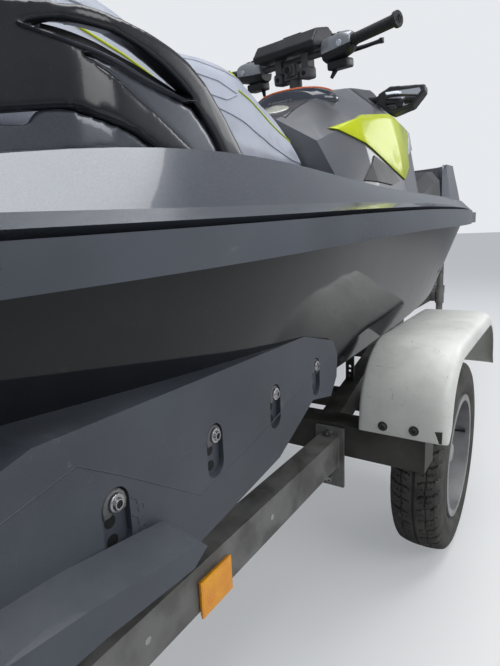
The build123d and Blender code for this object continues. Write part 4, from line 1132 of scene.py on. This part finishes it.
# Stage, light and camera
bm = bmesh.new()
bmesh.ops.create_grid(bm, x_segments=2, y_segments=2, size=60.0)
floor_mesh = bpy.data.meshes.new("studio_floor")
bm.to_mesh(floor_mesh)
bm.free()
studio_floor = bpy.data.objects.new("studio_floor", floor_mesh)
bpy.context.collection.objects.link(studio_floor)
floor_finish = bpy.data.materials.new("studio_floor")
floor_finish.use_nodes = True
floor_shader = floor_finish.node_tree.nodes["Principled BSDF"]
floor_shader.inputs["Base Color"].default_value = (0.56, 0.56, 0.55, 1.0)
floor_shader.inputs["Roughness"].default_value = 0.8
floor_ray = floor_finish.node_tree.nodes.new("ShaderNodeLightPath")
floor_glow = step(floor_finish.node_tree, "ShaderNodeMath", {0: floor_ray.outputs["Is Camera Ray"], 1: 0.30},
                  operation="MULTIPLY")
floor_finish.node_tree.links.new(floor_glow.outputs[0], floor_shader.inputs["Emission Strength"])
floor_shader.inputs["Emission Color"].default_value = (0.92, 0.95, 1.0, 1.0)
floor_mesh.materials.append(floor_finish)

world = bpy.data.worlds.new("studio")
bpy.context.scene.world = world
world.use_nodes = True
backdrop = world.node_tree.nodes["Background"]
ray = world.node_tree.nodes.new("ShaderNodeLightPath")
seen = sums(world.node_tree, "MAXIMUM", ray.outputs["Is Camera Ray"], ray.outputs["Is Transmission Ray"])
for_eye = step(world.node_tree, "ShaderNodeBackground", {"Color": (0.80, 0.82, 0.85, 1.0), "Strength": 1.0})
choose = step(world.node_tree, "ShaderNodeMixShader", {
    0: seen, 1: backdrop.outputs[0], 2: for_eye.outputs[0]})
backdrop.inputs["Color"].default_value = (0.78, 0.82, 0.9, 1.0)
backdrop.inputs["Strength"].default_value = 0.42
world.node_tree.links.new(choose.outputs[0], world.node_tree.nodes["World Output"].inputs["Surface"])


def soft_box(name, place, aim, wide, deep, power):
    lamp = bpy.data.lights.new(name, "AREA")
    lamp.shape = "RECTANGLE"
    lamp.size = wide
    lamp.size_y = deep
    lamp.energy = power
    holder = bpy.data.objects.new(name, lamp)
    holder.location = place
    holder.rotation_euler = (Vector(aim) - Vector(place)).to_track_quat("-Z", "Y").to_euler()
    bpy.context.collection.objects.link(holder)


soft_box("ceiling_light", (-0.6, -0.8, 4.4), (-0.3, 0.0, 0.6), 4.2, 2.4, 120.0)
soft_box("side_light", (-1.2, -4.4, 3.0), (-0.2, 0.0, 0.7), 3.4, 2.0, 70.0)
soft_box("bow_light", (4.4, -3.2, 3.0), (1.2, 0.0, 0.9), 2.4, 1.6, 50.0)

TURN, PITCH, ROLL = math.radians(33.64), math.radians(11.64), math.radians(2.48)
ahead = Vector((math.cos(TURN) * math.cos(PITCH), math.sin(TURN) * math.cos(PITCH), -math.sin(PITCH)))
level = ahead.cross(Vector((0, 0, 1))).normalized()
down = ahead.cross(level)
right = level * math.cos(ROLL) + down * math.sin(ROLL)
low = -level * math.sin(ROLL) + down * math.cos(ROLL)
camera = bpy.data.objects.new("camera", bpy.data.cameras.new("camera"))
camera.data.sensor_width = 36.0
camera.data.lens = 479.1 / 666 * 36.0
camera.data.clip_start = 0.01
camera.matrix_world = (Matrix.Translation((-2.0142, -0.9032, 0.9624))
                       @ Matrix((right, -low, -ahead)).transposed().to_4x4())
bpy.context.collection.objects.link(camera)
bpy.context.scene.camera = camera
bpy.context.scene.view_settings.view_transform = "Standard"
